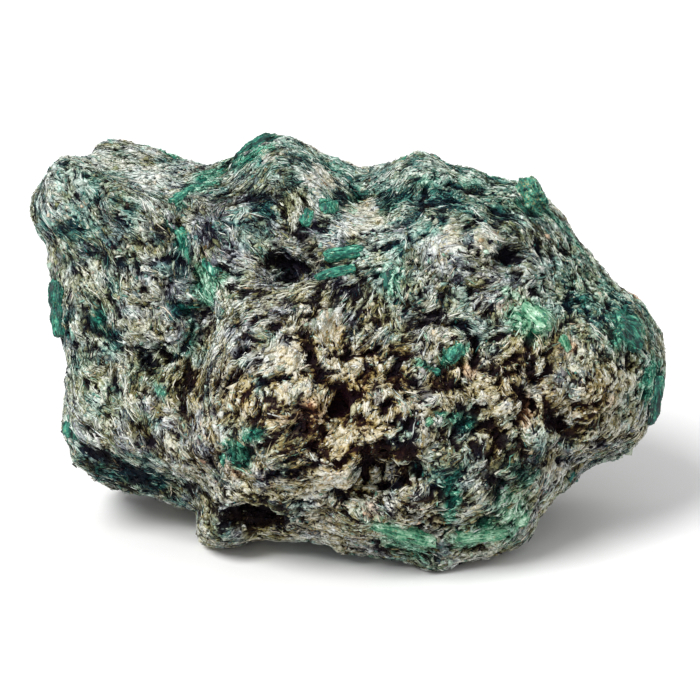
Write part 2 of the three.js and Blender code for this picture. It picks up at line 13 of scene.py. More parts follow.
import bmesh
import bpy
import numpy as np
from mathutils.bvhtree import BVHTree
from mathutils.kdtree import KDTree
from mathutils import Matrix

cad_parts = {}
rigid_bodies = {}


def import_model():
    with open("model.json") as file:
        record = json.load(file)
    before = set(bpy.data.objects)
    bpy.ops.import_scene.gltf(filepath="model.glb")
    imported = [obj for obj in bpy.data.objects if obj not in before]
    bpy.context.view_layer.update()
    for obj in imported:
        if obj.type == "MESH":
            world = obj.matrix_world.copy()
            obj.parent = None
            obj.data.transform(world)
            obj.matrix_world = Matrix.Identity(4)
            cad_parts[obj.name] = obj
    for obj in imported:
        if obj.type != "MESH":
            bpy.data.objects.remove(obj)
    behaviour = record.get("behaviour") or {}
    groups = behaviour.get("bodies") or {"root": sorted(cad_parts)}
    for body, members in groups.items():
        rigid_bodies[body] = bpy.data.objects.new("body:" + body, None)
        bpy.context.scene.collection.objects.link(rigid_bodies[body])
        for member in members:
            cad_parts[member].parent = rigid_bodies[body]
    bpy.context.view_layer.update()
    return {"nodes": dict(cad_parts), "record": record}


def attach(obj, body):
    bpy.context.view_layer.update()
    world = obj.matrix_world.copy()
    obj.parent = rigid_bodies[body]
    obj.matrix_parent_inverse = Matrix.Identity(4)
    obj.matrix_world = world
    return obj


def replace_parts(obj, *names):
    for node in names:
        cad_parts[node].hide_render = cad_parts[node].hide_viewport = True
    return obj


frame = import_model()
MM = 1000


def points_of(mesh):
    """A mesh's vertices in millimetres, one row each."""
    flat = np.empty(3 * len(mesh.vertices), np.float32)
    mesh.vertices.foreach_get("co", flat)
    return flat.reshape(-1, 3).astype(float) * MM


def placed(name, data):
    """A new object in the scene."""
    made = bpy.data.objects.new(name, data)
    bpy.context.scene.collection.objects.link(made)
    return made


matrix = frame["nodes"]["matrix"]
crystals = {name: node for name, node in frame["nodes"].items() if name != "matrix"}

# %% [markdown]
# The camera comes before the surface, because the stone's features are read from the picture: a hollow or
# a green patch is named by the picture position where it shows, and the camera says which part of the
# stone that is. A long lens from half a metre away keeps the outline as the picture has it. The aim and
# the distance are found by trial: each round measures how the stone falls in the frame, and corrects.

# %% Camera
PHOTO = 700
STONE_LEFT = 34
STONE_RIGHT = 665
STONE_TOP = 131
STONE_BOTTOM = 568
ELEVATION = math.radians(20)
LENS = 250
SENSOR = 36
AIM_ROUNDS = 8

RIGHT = np.array([1.0, 0.0, 0.0])
UP = np.array([0.0, math.sin(ELEVATION), math.cos(ELEVATION)])
TOWARDS = np.array([0.0, -math.cos(ELEVATION), math.sin(ELEVATION)])
FOCAL = PHOTO * LENS / SENSOR

solid_points = np.vstack([points_of(node.data) for node in frame["nodes"].values()])
aim = solid_points.mean(0)
distance = FOCAL * np.ptp(solid_points @ RIGHT) / (STONE_RIGHT - STONE_LEFT)


def to_photo(points):
    """The picture position of each point: x to the right and y down, in pixels."""
    away = points - aim
    depth = distance - away @ TOWARDS
    return PHOTO / 2 + FOCAL * (away @ RIGHT) / depth, PHOTO / 2 - FOCAL * (away @ UP) / depth


for _ in range(AIM_ROUNDS):
    across, down = to_photo(solid_points)
    distance *= np.ptp(across) / (STONE_RIGHT - STONE_LEFT)
    off_right = (across.min() + across.max() - STONE_LEFT - STONE_RIGHT) / 2
    off_down = (down.min() + down.max() - STONE_TOP - STONE_BOTTOM) / 2
    aim = aim + (off_right * RIGHT - off_down * UP) * distance / FOCAL

camera = placed("camera", bpy.data.cameras.new("camera"))
camera.data.lens = LENS
camera.data.sensor_width = SENSOR
camera.location = (aim + distance * TOWARDS) / MM
camera.rotation_euler = (math.pi / 2 - ELEVATION, 0, 0)
bpy.context.scene.camera = camera
across, down = to_photo(solid_points)
print(f"in the frame the stone spans x {across.min():.0f} to {across.max():.0f},",
      f"y {down.min():.0f} to {down.max():.0f}, seen from {distance:.0f} mm")

# %% [markdown]
# Broken stone is noise with structure. Two kinds are used all through. Swells are smooth and round, for
# slow changes. Shards are cells like splintered wood: each has its own level and its own colour, with a
# joint between it and the next, and they are stretched along the direction in which the mica flows. Both
# start from numbers scattered by whole-number cells, so every run gives the same stone.

# %% Repeatable noise
MIXERS = [np.uint32(number) for number in (374761393, 668265263, 2246822519, 3266489917)]
SHIFTS = [np.uint32(number) for number in (15, 13, 16)]
SEED_MIXER = 2654435761
WHOLE_NUMBERS = 2**32
FAR_AWAY = 9.0
SHORTEST = 1e-9


def scatter(cells, seed):
    """Four numbers from 0 to 1 for each row of whole numbers."""
    x, y, z = (cells[:, k].astype(np.int64).astype(np.uint32) for k in range(3))
    start = np.uint32((seed + 1) * SEED_MIXER % WHOLE_NUMBERS)
    mixed = x * MIXERS[0] ^ y * MIXERS[1] ^ z * MIXERS[2] ^ start
    columns = []
    for _ in range(4):
        mixed = (mixed ^ mixed >> SHIFTS[0]) * MIXERS[2]
        mixed = (mixed ^ mixed >> SHIFTS[1]) * MIXERS[3]
        mixed = mixed ^ mixed >> SHIFTS[2]
        columns.append(mixed / WHOLE_NUMBERS)
    return np.stack(columns, 1)


def swells(points, spacing, seed):
    """Smooth noise from -1 to 1, about one swell for each spacing."""
    home = np.floor(points / spacing)
    part = points / spacing - home
    part = part * part * (3 - 2 * part)
    total = np.zeros(len(points))
    for corner in itertools.product((0, 1), repeat=3):
        share = np.prod(np.where(corner, part, 1 - part), axis=1)
        total += share * scatter(home + corner, seed)[:, 0]
    return 2 * total - 1


def layered(points, layers):
    """Several swells added up: each layer has a spacing in millimetres, an amount and a seed."""
    return sum(amount * swells(points, spacing, seed) for spacing, amount, seed in layers)


def shards(points, along, spacing, stretch, seed):
    """For each point: the distance to its cell's middle and to the joint, and the cell's number."""
    place = points / spacing
    home = np.floor(place)
    nearest = np.full(len(points), FAR_AWAY)
    second = nearest.copy()
    number = np.zeros(len(points))
    for offset in itertools.product((-2, -1, 0, 1, 2), repeat=3):
        chance = scatter(home + offset, seed)
        gap = home + offset + chance[:, :3] - place
        away = (gap**2).sum(1) - (1 - stretch**-2) * (gap * along).sum(1) ** 2
        nearer = away < nearest
        second = np.where(nearer, nearest, np.minimum(second, away))
        number = np.where(nearer, chance[:, 3], number)
        nearest = np.minimum(nearest, away)
    return np.sqrt(nearest), np.sqrt(second) - np.sqrt(nearest), number


def ramp(low, high, value):
    """0 below low, 1 above high, and a smooth rise between."""
    share = np.clip((value - low) / (high - low), 0, 1)
    return share * share * (3 - 2 * share)


def unit(vectors):
    """The same directions, each with a length of one."""
    return vectors / np.maximum(np.linalg.norm(vectors, axis=1, keepdims=True), SHORTEST)


trial = swells(solid_points, spacing=3.0, seed=1)
print(f"over the packed points, swells run from {trial.min():.2f} to {trial.max():.2f}")

# %% [markdown]
# The body of the stone starts from its packed solid, whose faces are large and uneven. They could be
# subdivided, but long thin faces stay long and thin. A voxel remesh builds the same form again from even
# faces, small enough to carry breaks of half a millimetre.

# %% Remesh the body
BODY_GRAIN = 0.37


def remeshed(mesh, grain):
    """A closed mesh rebuilt in even faces: its points in millimetres, its triangles and its edges."""
    rough = placed("rough", mesh.copy())
    rough.data.transform(((MM, 0, 0, 0), (0, MM, 0, 0), (0, 0, MM, 0), (0, 0, 0, 1)))
    even = rough.modifiers.new("even faces", "REMESH")
    even.mode = "VOXEL"
    even.voxel_size = grain
    bpy.context.view_layer.update()
    fine = bpy.data.meshes.new_from_object(rough.evaluated_get(bpy.context.evaluated_depsgraph_get()))
    bpy.data.objects.remove(rough)
    fine.calc_loop_triangles()
    faces = np.empty(3 * len(fine.loop_triangles), np.int32)
    fine.loop_triangles.foreach_get("vertices", faces)
    edges = np.empty(2 * len(fine.edges), np.int32)
    fine.edges.foreach_get("vertices", edges)
    return points_of(fine) / MM, faces.reshape(-1, 3), edges.reshape(-1, 2)


places, triangles, edges = remeshed(matrix.data, BODY_GRAIN)
print("the body has", len(places), "points and", len(triangles), "triangles")
print("it runs from", places.min(0).round(1), "to", places.max(0).round(1), "mm")

# %% [markdown]
# Tools for a mesh kept as arrays. One lets a value settle: every point takes the mean of its neighbours,
# which it finds along the edges. Others find how large each face is, and the outward direction at each
# point, as the sum of the directions of the faces round it, so that large faces count more.

# %% Neighbours and outward directions
tails = np.concatenate([edges[:, 0], edges[:, 1]])
heads = np.concatenate([edges[:, 1], edges[:, 0]])
degree = np.bincount(heads, minlength=len(places))


def settle(values, rounds):
    """Each point's value moves to the mean of its neighbours' values, so many times over."""
    columns = values.reshape(len(places), -1)
    for _ in range(rounds):
        columns = np.stack(
            [np.bincount(heads, column[tails], len(places)) / degree for column in columns.T], 1)
    return columns.reshape(values.shape)


def spans_of(points, faces):
    """A vector outwards from each triangle, twice as long as the triangle is large."""
    a, b, c = (points[faces[:, k]] for k in range(3))
    return np.cross(b - a, c - a)


def areas_of(points, faces):
    """The area of each triangle."""
    return np.linalg.norm(spans_of(points, faces), axis=1) / 2


def normals_at(points, faces):
    """The outward direction at each point of a mesh."""
    facing = spans_of(points, faces)
    total = np.zeros_like(points)
    for k in range(3):
        for axis in range(3):
            total[:, axis] += np.bincount(faces[:, k], facing[:, axis], len(points))
    return unit(total)


print(f"a point of the body has {degree.mean():.1f} neighbours")

# %% [markdown]
# In the solid each crystal stands in a pocket with a small gap round it, which a real crystal that grew in
# the rock doesn't have. A boolean union would close the gap but melt the two together. Instead the points
# of the pocket walls, which are those close to a crystal, are let go like a soap film: each moves to the
# middle of its neighbours, again and again, until the film spans the pocket's mouth with the crystal
# standing through it.

# %% Close the pockets
POCKET_REACH = 0.62
FILM_SPREAD = 2
FILM_LEVEL = 0.01
FILM_ROUNDS = 260
HUG_REACH = 1.5
HUG_FULLY = 0.2


def tree_of(meshes):
    """One search tree over several meshes, in millimetres."""
    corners = []
    faces = []
    for mesh in meshes:
        start = len(corners)
        corners.extend(points_of(mesh).tolist())
        faces.extend([start + index for index in face.vertices] for face in mesh.polygons)
    return BVHTree.FromPolygons(corners, faces)


crystal_tree = tree_of([node.data for node in crystals.values()])
walls = [crystal_tree.find_nearest(place, POCKET_REACH)[0] is not None for place in places.tolist()]
film = settle(np.array(walls, float), FILM_SPREAD) > FILM_LEVEL
for _ in range(FILM_ROUNDS):
    places = np.where(film[:, None], settle(places, 1), places)
gaps = [crystal_tree.find_nearest(place, HUG_REACH)[3] for place in places.tolist()]
hug = ramp(HUG_REACH, HUG_FULLY, np.array([HUG_REACH if gap is None else gap for gap in gaps]))
print(f"{film.mean():.0%} of the body's points span a pocket's mouth, {hug.mean():.0%} are near a crystal")

# %% [markdown]
# Features that the picture shows are kept as named spots: a picture position, half sizes along and across,
# a turn anticlockwise from level, and an amount. A spot only marks what faces the camera, so nothing is
# smeared down the sides. Its edge is bent by swells, because nothing in a stone is an ellipse. The sides
# and the back, which the picture doesn't show, get patches of the same kinds from noise: each kind says
# how many millimetres apart they lie, what share of the stone they take, and the noise's seed.

# %% Named spots
Spot = namedtuple("Spot", "name x y along across turn amount")
Kind = namedtuple("Kind", "spacing share seed spots")


def inside(spots, x, y, edge=1.0):
    """How far each picture position is inside the spots; a higher edge gives steeper borders."""
    total = np.zeros(len(x))
    for spot in spots:
        turn = math.radians(spot.turn)
        right = x - spot.x
        up = spot.y - y
        u = (right * math.cos(turn) + up * math.sin(turn)) / spot.along
        v = (up * math.cos(turn) - right * math.sin(turn)) / spot.across
        total = np.maximum(total, spot.amount * np.exp(-((u * u + v * v) ** edge)))
    return total


one_spot = [Spot("trial", PHOTO / 2, PHOTO / 2, 10, 5, 0, 1.0)]
trial = inside(one_spot, PHOTO / 2 + np.array([0, 10, 20]), PHOTO / 2 + np.zeros(3))
print("a spot counts fully in its middle, and then fades:", trial.round(2))

# %% [markdown]
# Where flakes have fallen out, the stone has dark hollows. The great pit and the larger ones are in the
# packed solid already, and these add their depth and their ragged edges. The amount is the depth in
# millimetres.

# %% Hollows
HOLLOWS = [
    Spot("above the twin bars", 290, 267, 27, 12, -4, 1.5),
    Spot("beside the blade", 172, 258, 14, 8, -55, 0.85),
    Spot("under the round crystal", 325, 227, 15, 5, 0, 0.9),
    Spot("blue shade on the crest", 292, 168, 13, 4, -62, 0.7),
    Spot("left of the white knob", 282, 210, 10, 4, 90, 0.8),
    Spot("left block, upper chip", 123, 258, 8, 4, 90, 0.6),
    Spot("left block, upper slit", 97, 252, 12, 3, -10, 0.45),
    Spot("left block, edge nick", 70, 263, 6, 5, 0, 0.6),
    Spot("right shoulder", 506, 259, 15, 6, 25, 0.95),
    Spot("right shoulder, small", 552, 267, 5, 4, 0, 0.8),
    Spot("great pit, left", 366, 462, 9, 17, 10, 1.3),
    Spot("great pit, middle", 386, 455, 12, 12, 40, 1.4),
    Spot("great pit, foot", 392, 482, 14, 7, 20, 1.1),
    Spot("great pit's right arm", 412, 452, 11, 11, 0, 1.1),
    Spot("great pit's tail", 398, 440, 6, 9, 0, 0.9),
    Spot("belly cleft", 342, 405, 20, 9, 66, 1.3),
    Spot("belly cleft's tail", 322, 430, 10, 4, 90, 0.9),
    Spot("belly, upper nick", 362, 358, 7, 6, 0, 0.8),
    Spot("foot hollow", 257, 512, 30, 14, -8, 1.6),
    Spot("left lobe, slit", 251, 342, 11, 4, 0, 0.8),
    Spot("left lobe, nick", 284, 342, 6, 4, 0, 0.7),
    Spot("belly, upper slit", 312, 352, 13, 6, 0, 0.9),
    Spot("left lobe, chip", 262, 379, 9, 6, 90, 0.8),
    Spot("left lobe, edge", 210, 394, 7, 5, 90, 0.8),
    Spot("left block's hollow", 150, 366, 17, 10, -30, 1.0),
    Spot("left block's gash", 167, 355, 19, 6, -25, 1.0),
    Spot("right of the bright crystal", 474, 347, 18, 6, 88, 1.1),
    Spot("nick beside it", 492, 338, 8, 4, 0, 0.7),
    Spot("under the lime crystals", 512, 361, 8, 6, 0, 0.9),
    Spot("long slot", 520, 405, 20, 5, -86, 1.2),
    Spot("pointed slot", 501, 439, 19, 6, -80, 1.1),
    Spot("right end's pit", 555, 417, 22, 8, -70, 1.2),
    Spot("right end's chip", 531, 371, 9, 6, 0, 0.8),
    Spot("over the pale stick", 447, 383, 8, 7, 0, 0.9),
    Spot("left of the pale stick", 410, 385, 10, 5, 0, 0.8),
    Spot("keel slit", 410, 505, 10, 5, 90, 0.9),
    Spot("keel nick", 427, 499, 7, 5, 30, 0.8),
    Spot("beside the green streak", 472, 450, 10, 7, 90, 0.9),
    Spot("left heel gash", 98, 455, 20, 6, -45, 0.9),
    Spot("left foot gash", 138, 478, 26, 6, -18, 0.9),
    Spot("left foot, outside", 190, 490, 10, 8, 0, 0.9),
    Spot("left foot, over it", 195, 455, 6, 5, 0, 0.7),
]
print(len(HOLLOWS), "hollows are read from the picture")

# %% [markdown]
# Feldspar and quartz make pale lumps among the mica. They could be pieces of their own, but in the picture
# they are grown through with flakes, so they change the body's form and tone. The amount is how thickly
# they cover.

# %% Pale lumps
PALE = Kind(3.0, 0.3, 22, [
    Spot("white knob", 362, 222, 21, 16, 30, 1.7),
    Spot("white chip on the crest", 319, 181, 15, 15, 0, 1.3),
    Spot("white chip at the seam", 268, 157, 9, 7, 0, 1.2),
    Spot("cream face of the belly", 328, 322, 22, 20, 40, 1.3),
    Spot("cream grains of the lobe", 283, 360, 20, 14, 0, 1.2),
    Spot("pinkish grains", 285, 388, 16, 13, 0, 1.2),
    Spot("pinkish grains, right", 315, 390, 15, 10, 0, 1.0),
    Spot("cream ledge, left", 447, 243, 17, 20, 0, 1.1),
    Spot("cream ledge, right", 485, 245, 15, 19, 0, 1.0),
    Spot("yellowish patch", 335, 436, 11, 15, 0, 1.1),
    Spot("beige foot of the belly", 332, 480, 23, 19, 20, 1.1),
    Spot("lobe grain", 230, 410, 10, 9, 0, 0.7),
    Spot("long grain on the step", 172, 425, 8, 15, 0, 0.6),
    Spot("keel lens", 382, 433, 18, 8, 10, 1.1),
    Spot("belly grain", 408, 405, 10, 11, 0, 1.1),
    Spot("shoulder grain", 537, 254, 12, 8, 0, 0.7),
    Spot("keel grains", 475, 503, 15, 7, 10, 0.7),
    Spot("grey white patch", 551, 470, 13, 11, 0, 1.0),
    Spot("step grain", 198, 383, 8, 12, 0, 0.6),
    Spot("shelf top", 130, 172, 44, 14, -12, 0.5),
    Spot("roof left", 160, 150, 34, 10, -8, 0.45),
    Spot("belly beads", 352, 372, 13, 10, 60, 0.9),
    Spot("middle beads", 430, 330, 18, 8, 50, 0.55),
    Spot("right beads", 590, 380, 20, 9, 65, 0.5),
])
print(len(PALE.spots), "pale lumps are read from the picture")

# %% [markdown]
# Round the crystals the schist is full of fine-grained emerald, too small to be pieces, and stained green.
# One kind of spot says how green the ground is, and another how pale that green is. Elsewhere it is deep.

# %% Green ground
GREEN = Kind(5.0, 0.3, 23, [
    Spot("seam", 205, 184, 46, 9, 36, 0.9),
    Spot("crest", 256, 152, 30, 10, 34, 1.0),
    Spot("crest, right", 330, 165, 36, 7, -24, 0.45),
    Spot("blade", 183, 244, 24, 6, -62, 0.8),
    Spot("step group", 211, 284, 16, 26, 5, 0.85),
    Spot("step, dark", 190, 307, 13, 11, 0, 0.9),
    Spot("step, low", 193, 340, 22, 10, 80, 0.6),
    Spot("left block, low", 98, 318, 16, 9, -30, 0.7),
    Spot("left block, lower", 106, 331, 11, 6, -20, 0.6),
    Spot("left block, green", 160, 390, 16, 9, -20, 0.6),
    Spot("left block, mint", 115, 405, 6, 5, 0, 0.5),
    Spot("left bulge", 53, 308, 9, 28, 8, 1.0),
    Spot("left heel", 97, 470, 6, 9, 0, 0.6),
    Spot("crest, under", 355, 200, 14, 16, 0, 0.55),
    Spot("twin bars", 342, 266, 36, 12, 8, 0.4),
    Spot("column", 391, 283, 13, 22, 0, 0.6),
    Spot("top right, left", 388, 203, 14, 9, 0, 0.5),
    Spot("top right", 428, 190, 20, 12, 0, 0.5),
    Spot("top right, middle", 468, 182, 14, 12, 0, 0.45),
    Spot("top right, right", 506, 208, 20, 9, -16, 0.5),
    Spot("tip", 534, 202, 16, 24, 0, 1.0),
    Spot("slope", 570, 235, 34, 11, -48, 0.85),
    Spot("slope, low", 578, 303, 12, 9, 0, 0.6),
    Spot("slope, mint", 603, 292, 8, 7, 0, 0.6),
    Spot("right end", 624, 330, 26, 22, -30, 0.85),
    Spot("right edge", 652, 388, 13, 34, 8, 0.95),
    Spot("over the lime crystals", 510, 295, 12, 7, 0, 0.6),
    Spot("lime crystals", 529, 322, 24, 23, 0, 1.0),
    Spot("bright crystal", 450, 354, 18, 11, 20, 0.9),
    Spot("sliver", 425, 368, 19, 6, -10, 0.8),
    Spot("mottled green", 460, 420, 24, 14, 20, 0.65),
    Spot("green streak", 453, 497, 36, 9, 85, 0.85),
    Spot("belly, right", 520, 470, 24, 20, 0, 0.5),
    Spot("lobe, upper", 259, 431, 10, 10, 0, 0.85),
    Spot("lobe, lower", 241, 450, 13, 14, 0, 0.9),
    Spot("keel, left", 398, 534, 54, 15, -31, 0.75),
    Spot("keel, right", 480, 532, 54, 15, 16, 0.7),
    Spot("keel, mint", 514, 512, 16, 11, 20, 0.8),
    Spot("over the keel", 505, 498, 40, 20, 20, 0.5),
    Spot("shelf, dip", 103, 180, 22, 7, -15, 0.4),
    Spot("left block, top", 70, 235, 18, 10, 0, 0.4),
    Spot("middle, teal spots", 438, 415, 9, 8, 0, 0.7),
])
MINT = Kind(4.0, 0.2, 24, [
    Spot("lime crystals", 529, 322, 27, 25, 0, 1.1),
    Spot("over the lime crystals", 510, 295, 12, 7, 0, 0.8),
    Spot("bright crystal", 452, 353, 16, 10, 20, 0.7),
    Spot("twin bars", 345, 264, 28, 9, 8, 0.55),
    Spot("mint group", 512, 506, 26, 16, 20, 1.0),
    Spot("keel, right", 492, 528, 40, 12, 18, 0.7),
    Spot("keel, left", 385, 528, 36, 11, -31, 0.6),
    Spot("slope, mint", 603, 292, 9, 8, 0, 0.8),
    Spot("pale stick", 430, 407, 22, 5, 31, 0.8),
    Spot("lobe, lower", 246, 444, 10, 10, 0, 0.5),
    Spot("step group", 211, 280, 13, 20, 5, 0.6),
    Spot("tip", 530, 194, 12, 16, -20, 0.7),
])
print(len(GREEN.spots), "green spots and", len(MINT.spots), "pale green ones are read from the picture")

# %% [markdown]
# The ground colour drifts too: rusty where iron has weathered, warm on the belly and the keel, and cool
# grey and teal on the top and the slope. Navy and blackish teal stains lie in the finer rock, and the dark
# spots also hold painted shadow on the left underside. They lie only on the side that shows, because
# nothing says where the hidden ones would be.

# %% Rust, warm and cool ground, dark stains and painted shadow
RUST = Kind(3.4, 0.16, 25, [
    Spot("belly", 312, 410, 14, 9, 0, 0.8),
    Spot("lobe", 234, 466, 8, 6, 0, 0.7),
    Spot("over the lime crystals", 507, 312, 9, 7, 0, 0.6),
    Spot("right end", 568, 345, 8, 11, 0, 0.8),
    Spot("beside the long slot", 530, 408, 6, 20, 0, 0.8),
    Spot("middle", 471, 369, 10, 8, 0, 0.6),
    Spot("great pit's lip", 367, 506, 13, 6, 0, 0.6),
    Spot("belly, low", 290, 420, 11, 6, 0, 0.6),
    Spot("right beads", 600, 400, 14, 8, 60, 0.35),
])
WARM = Kind(14.0, 0.5, 26, [
    Spot("belly", 330, 410, 165, 100, 0, 1.15),
    Spot("right belly", 540, 395, 110, 80, 0, 0.9),
    Spot("left block", 125, 330, 60, 100, 0, 0.35),
    Spot("keel", 370, 520, 150, 34, 0, 0.8),
])
COOL = Kind(12.0, 0.4, 27, [
    Spot("top right", 465, 190, 105, 40, -6, 1.0),
    Spot("right slope", 600, 290, 66, 60, -40, 0.85),
    Spot("crest", 290, 165, 75, 34, 0, 0.5),
    Spot("shelf", 110, 180, 70, 34, 0, 0.35),
    Spot("left block, top", 90, 220, 60, 40, -20, 0.4),
    Spot("left block", 90, 330, 50, 110, 0, 0.25),
    Spot("column", 392, 275, 30, 42, 0, 0.7),
    Spot("crest, right", 330, 180, 60, 30, -24, 0.5),
    Spot("green streak", 452, 470, 26, 40, 0, 0.5),
])
STAINS_AND_PAINTED_SHADOW = [
    Spot("left block, streak", 100, 326, 24, 8, -38, 1.0),
    Spot("left block, chip", 117, 260, 11, 6, 0, 1.0),
    Spot("left block, slit", 93, 255, 10, 4, -10, 0.8),
    Spot("left block, middle", 116, 291, 9, 7, 0, 0.7),
    Spot("left edge, slit", 70, 264, 8, 4, 0, 0.8),
    Spot("left edge", 61, 336, 7, 14, 10, 0.9),
    Spot("left block, top", 70, 232, 18, 10, -5, 0.65),
    Spot("beside the seam", 224, 228, 11, 5, 0, 0.6),
    Spot("crest, left flank", 266, 206, 19, 7, -40, 0.6),
    Spot("shelf, dip", 103, 179, 12, 5, -15, 0.4),
    # painted shadow: the underside turns away from the lamp, and this spot darkens it
    Spot("left underside", 130, 478, 62, 15, -18, 0.7),
    Spot("left block's hollow", 152, 370, 22, 20, -20, 0.5),
    Spot("step", 186, 311, 14, 10, 0, 1.0),
    Spot("below the shelf", 158, 240, 16, 6, -40, 0.5),
    Spot("crest, right side", 291, 183, 8, 19, -5, 0.8),
    Spot("fold beside the crest", 352, 198, 12, 8, 0, 0.9),
    Spot("top right, left", 394, 202, 14, 8, 0, 0.9),
    Spot("top right, middle", 436, 206, 20, 7, 0, 0.9),
    Spot("top right, upper", 472, 190, 14, 9, -20, 0.85),
    Spot("top right, right", 500, 215, 18, 8, -20, 0.9),
    Spot("beside the column", 408, 262, 10, 18, 0, 0.5),
    Spot("slope", 560, 268, 22, 8, -50, 0.35),
    Spot("right slope", 600, 318, 18, 12, -40, 0.3),
    Spot("right end", 636, 352, 12, 16, 0, 0.5),
    Spot("belly, left of the slots", 462, 425, 16, 12, 0, 0.6),
    Spot("right belly, low", 515, 468, 16, 14, 0, 0.5),
    Spot("lobe", 245, 452, 10, 8, 0, 0.4),
]
print(len(RUST.spots), "rusty,", len(WARM.spots), "warm,", len(COOL.spots), "cool and", len(STAINS_AND_PAINTED_SHADOW),
      "dark spots are read from the picture")

# %% [markdown]
# The texture isn't the same all over. The belly, the foot, the keel and the right end are coarse and gappy,
# the slope and the middle are half so, and the rest is finely combed. Other zones are lighter than the
# ground about them, the shelf and the right end the most, and on the shelf top this is painted light, where
# the top faces the lamp.

# %% Coarse zones, and light zones with painted light
COARSE = Kind(11.0, 0.45, 28, [
    Spot("belly", 345, 410, 115, 95, 0, 1.0),
    Spot("right belly", 500, 400, 90, 90, 0, 0.9),
    Spot("lobe", 240, 400, 38, 75, 0, 0.7),
    Spot("right end", 605, 385, 45, 58, 20, 0.85),
    Spot("right slope", 590, 290, 50, 40, -40, 0.55),
    Spot("top right", 455, 200, 85, 30, -6, 0.35),
    Spot("crest", 310, 195, 40, 26, 0, 0.25),
    Spot("keel", 440, 515, 78, 26, 0, 0.7),
    Spot("foot", 260, 505, 60, 28, 0, 0.8),
    Spot("left block's hollow", 150, 365, 34, 34, 0, 0.6),
    Spot("middle", 400, 300, 90, 46, 0, 0.35),
])
LIGHTER_AND_PAINTED_LIGHT = Kind(9.0, 0.35, 29, [
    # painted light: the shelf top is lighter where it faces the lamp
    Spot("shelf top", 125, 168, 72, 27, -8, 2.3),
    Spot("crest", 285, 150, 60, 16, 0, 0.5),
    Spot("left edge", 70, 200, 22, 30, 0, 0.4),
    Spot("top right", 450, 190, 90, 34, -5, 1.1),
    Spot("belly top", 280, 330, 60, 24, 10, 0.5),
    Spot("right belly", 515, 400, 75, 70, 0, 1.2),
    Spot("right end", 615, 370, 40, 60, 0, 1.7),
    Spot("left block", 110, 300, 60, 90, 0, 0.8),
    Spot("keel", 450, 515, 90, 30, 0, 0.7),
    Spot("right slope", 600, 290, 50, 55, -40, 0.8),
])
print(len(COARSE.spots), "coarse zones and", len(LIGHTER_AND_PAINTED_LIGHT.spots), "light ones are read from the picture")

# %% [markdown]
# Mica schist looks combed, because its flakes all lie in the plane in which the rock was once squeezed.
# Marks say which way they run: a picture x and y, and degrees anticlockwise from level.

# %% Flow marks
FLOW = [
    (85, 182, -30), (110, 196, 2), (150, 152, -14), (52, 205, -52), (68, 295, -66), (147, 285, -46),
    (110, 345, -52), (100, 440, -48), (165, 440, -68), (180, 235, -60), (203, 385, 84), (225, 172, 36),
    (262, 155, 34), (300, 205, -50), (340, 178, -40), (415, 180, 28), (350, 265, 8), (390, 285, 84),
    (255, 325, 12), (325, 380, 60), (270, 430, 30), (400, 350, 55), (420, 450, 55), (480, 400, 62),
    (540, 320, 40), (500, 225, -12), (570, 250, -44), (635, 330, -58), (615, 385, 66), (575, 440, 52),
    (395, 535, -34), (492, 525, 20), (300, 490, 12), (520, 470, 48),
]
FLOW_SPREAD = 34
print(len(FLOW), "flow marks are read from the picture, and each reaches about", FLOW_SPREAD, "pixels")

# %% [markdown]
# The direction at any point is blended from the marks. Directions are averaged by their doubled angles, so
# that two opposite arrows, which mean the same thing, don't cancel. The rock is broken into plates about
# two millimetres wide, and each is turned a little of its own, or the stone would look like fur. On the
# hidden sides the flakes follow one slanting bed, thrown about by swells.

# %% Directions over the body
SMOOTH_PLACES = 3
SMOOTH_OUTWARDS = 8
FLOW_FLOOR = 1e-4
FLOW_BENDS = [(2.6, 0.4, 71), (1.0, 0.4, 75)]
BED = np.array([0.86, 0.42, -0.28])
BED_WANDER = 0.75
BED_SPACING = 9
BED_SEEDS = (72, 73, 74)
PLATE = {"spacing": 1.9, "stretch": 1.0, "seed": 77}
PLATE_TURN_FINE = 1.3
PLATE_TURN_COARSE = 1.3

places = settle(places, SMOOTH_PLACES)
outwards = unit(settle(normals_at(places, triangles), SMOOTH_OUTWARDS))
print(f"{(outwards @ TOWARDS > 0).mean():.0%} of the body's points look towards the camera")


def lie_of(points, outward, x, y, seen, coarse):
    """The direction of the mica at each point, in the surface."""
    sine = np.zeros(len(points))
    cosine = np.zeros(len(points))
    for mark_x, mark_y, turn in FLOW:
        weight = FLOW_FLOOR + np.exp(-((x - mark_x) ** 2 + (y - mark_y) ** 2) / (2 * FLOW_SPREAD**2))
        sine += weight * math.sin(math.radians(2 * turn))
        cosine += weight * math.cos(math.radians(2 * turn))
    _, _, plate = shards(points, outward, **PLATE)
    angle = np.arctan2(sine, cosine) / 2 + layered(points, FLOW_BENDS)
    angle += (PLATE_TURN_FINE + PLATE_TURN_COARSE * coarse) * (plate - 0.5)
    shown = np.cos(angle)[:, None] * RIGHT + np.sin(angle)[:, None] * UP
    wander = np.stack([swells(points, BED_SPACING, seed) for seed in BED_SEEDS], 1)
    hidden = BED + BED_WANDER * wander
    hidden *= np.where((hidden * shown).sum(1) < 0, -1, 1)[:, None]
    mixed = seen[:, None] * shown + (1 - seen[:, None]) * hidden
    return unit(mixed - (mixed * outward).sum(1, keepdims=True) * outward)


# %% [markdown]
# What the picture says about a point of the stone is worked out once and kept together: where the point
# shows, how squarely it faces the camera, and from these how far it is in a zone. Faces that turn away from
# the camera fade from the picture's spots to the patches made by noise. From here on a RISE says where a
# ramp starts and where it is full, SWELLS are a spacing in millimetres and a seed, and a list of layers
# holds a spacing, an amount and a seed for each.

# %% What the picture says
SEEN_RISE = (-0.02, 0.22)
FRAY = (0.6, 12)
BEND_X = [(1.7, 8, 11), (0.6, 4, 12)]
BEND_Y = [(1.7, 8, 13), (0.6, 4, 14)]
HIDDEN_FRAY = 0.3
HIDDEN_EDGE = 0.4
SAMPLE_STEP = 50


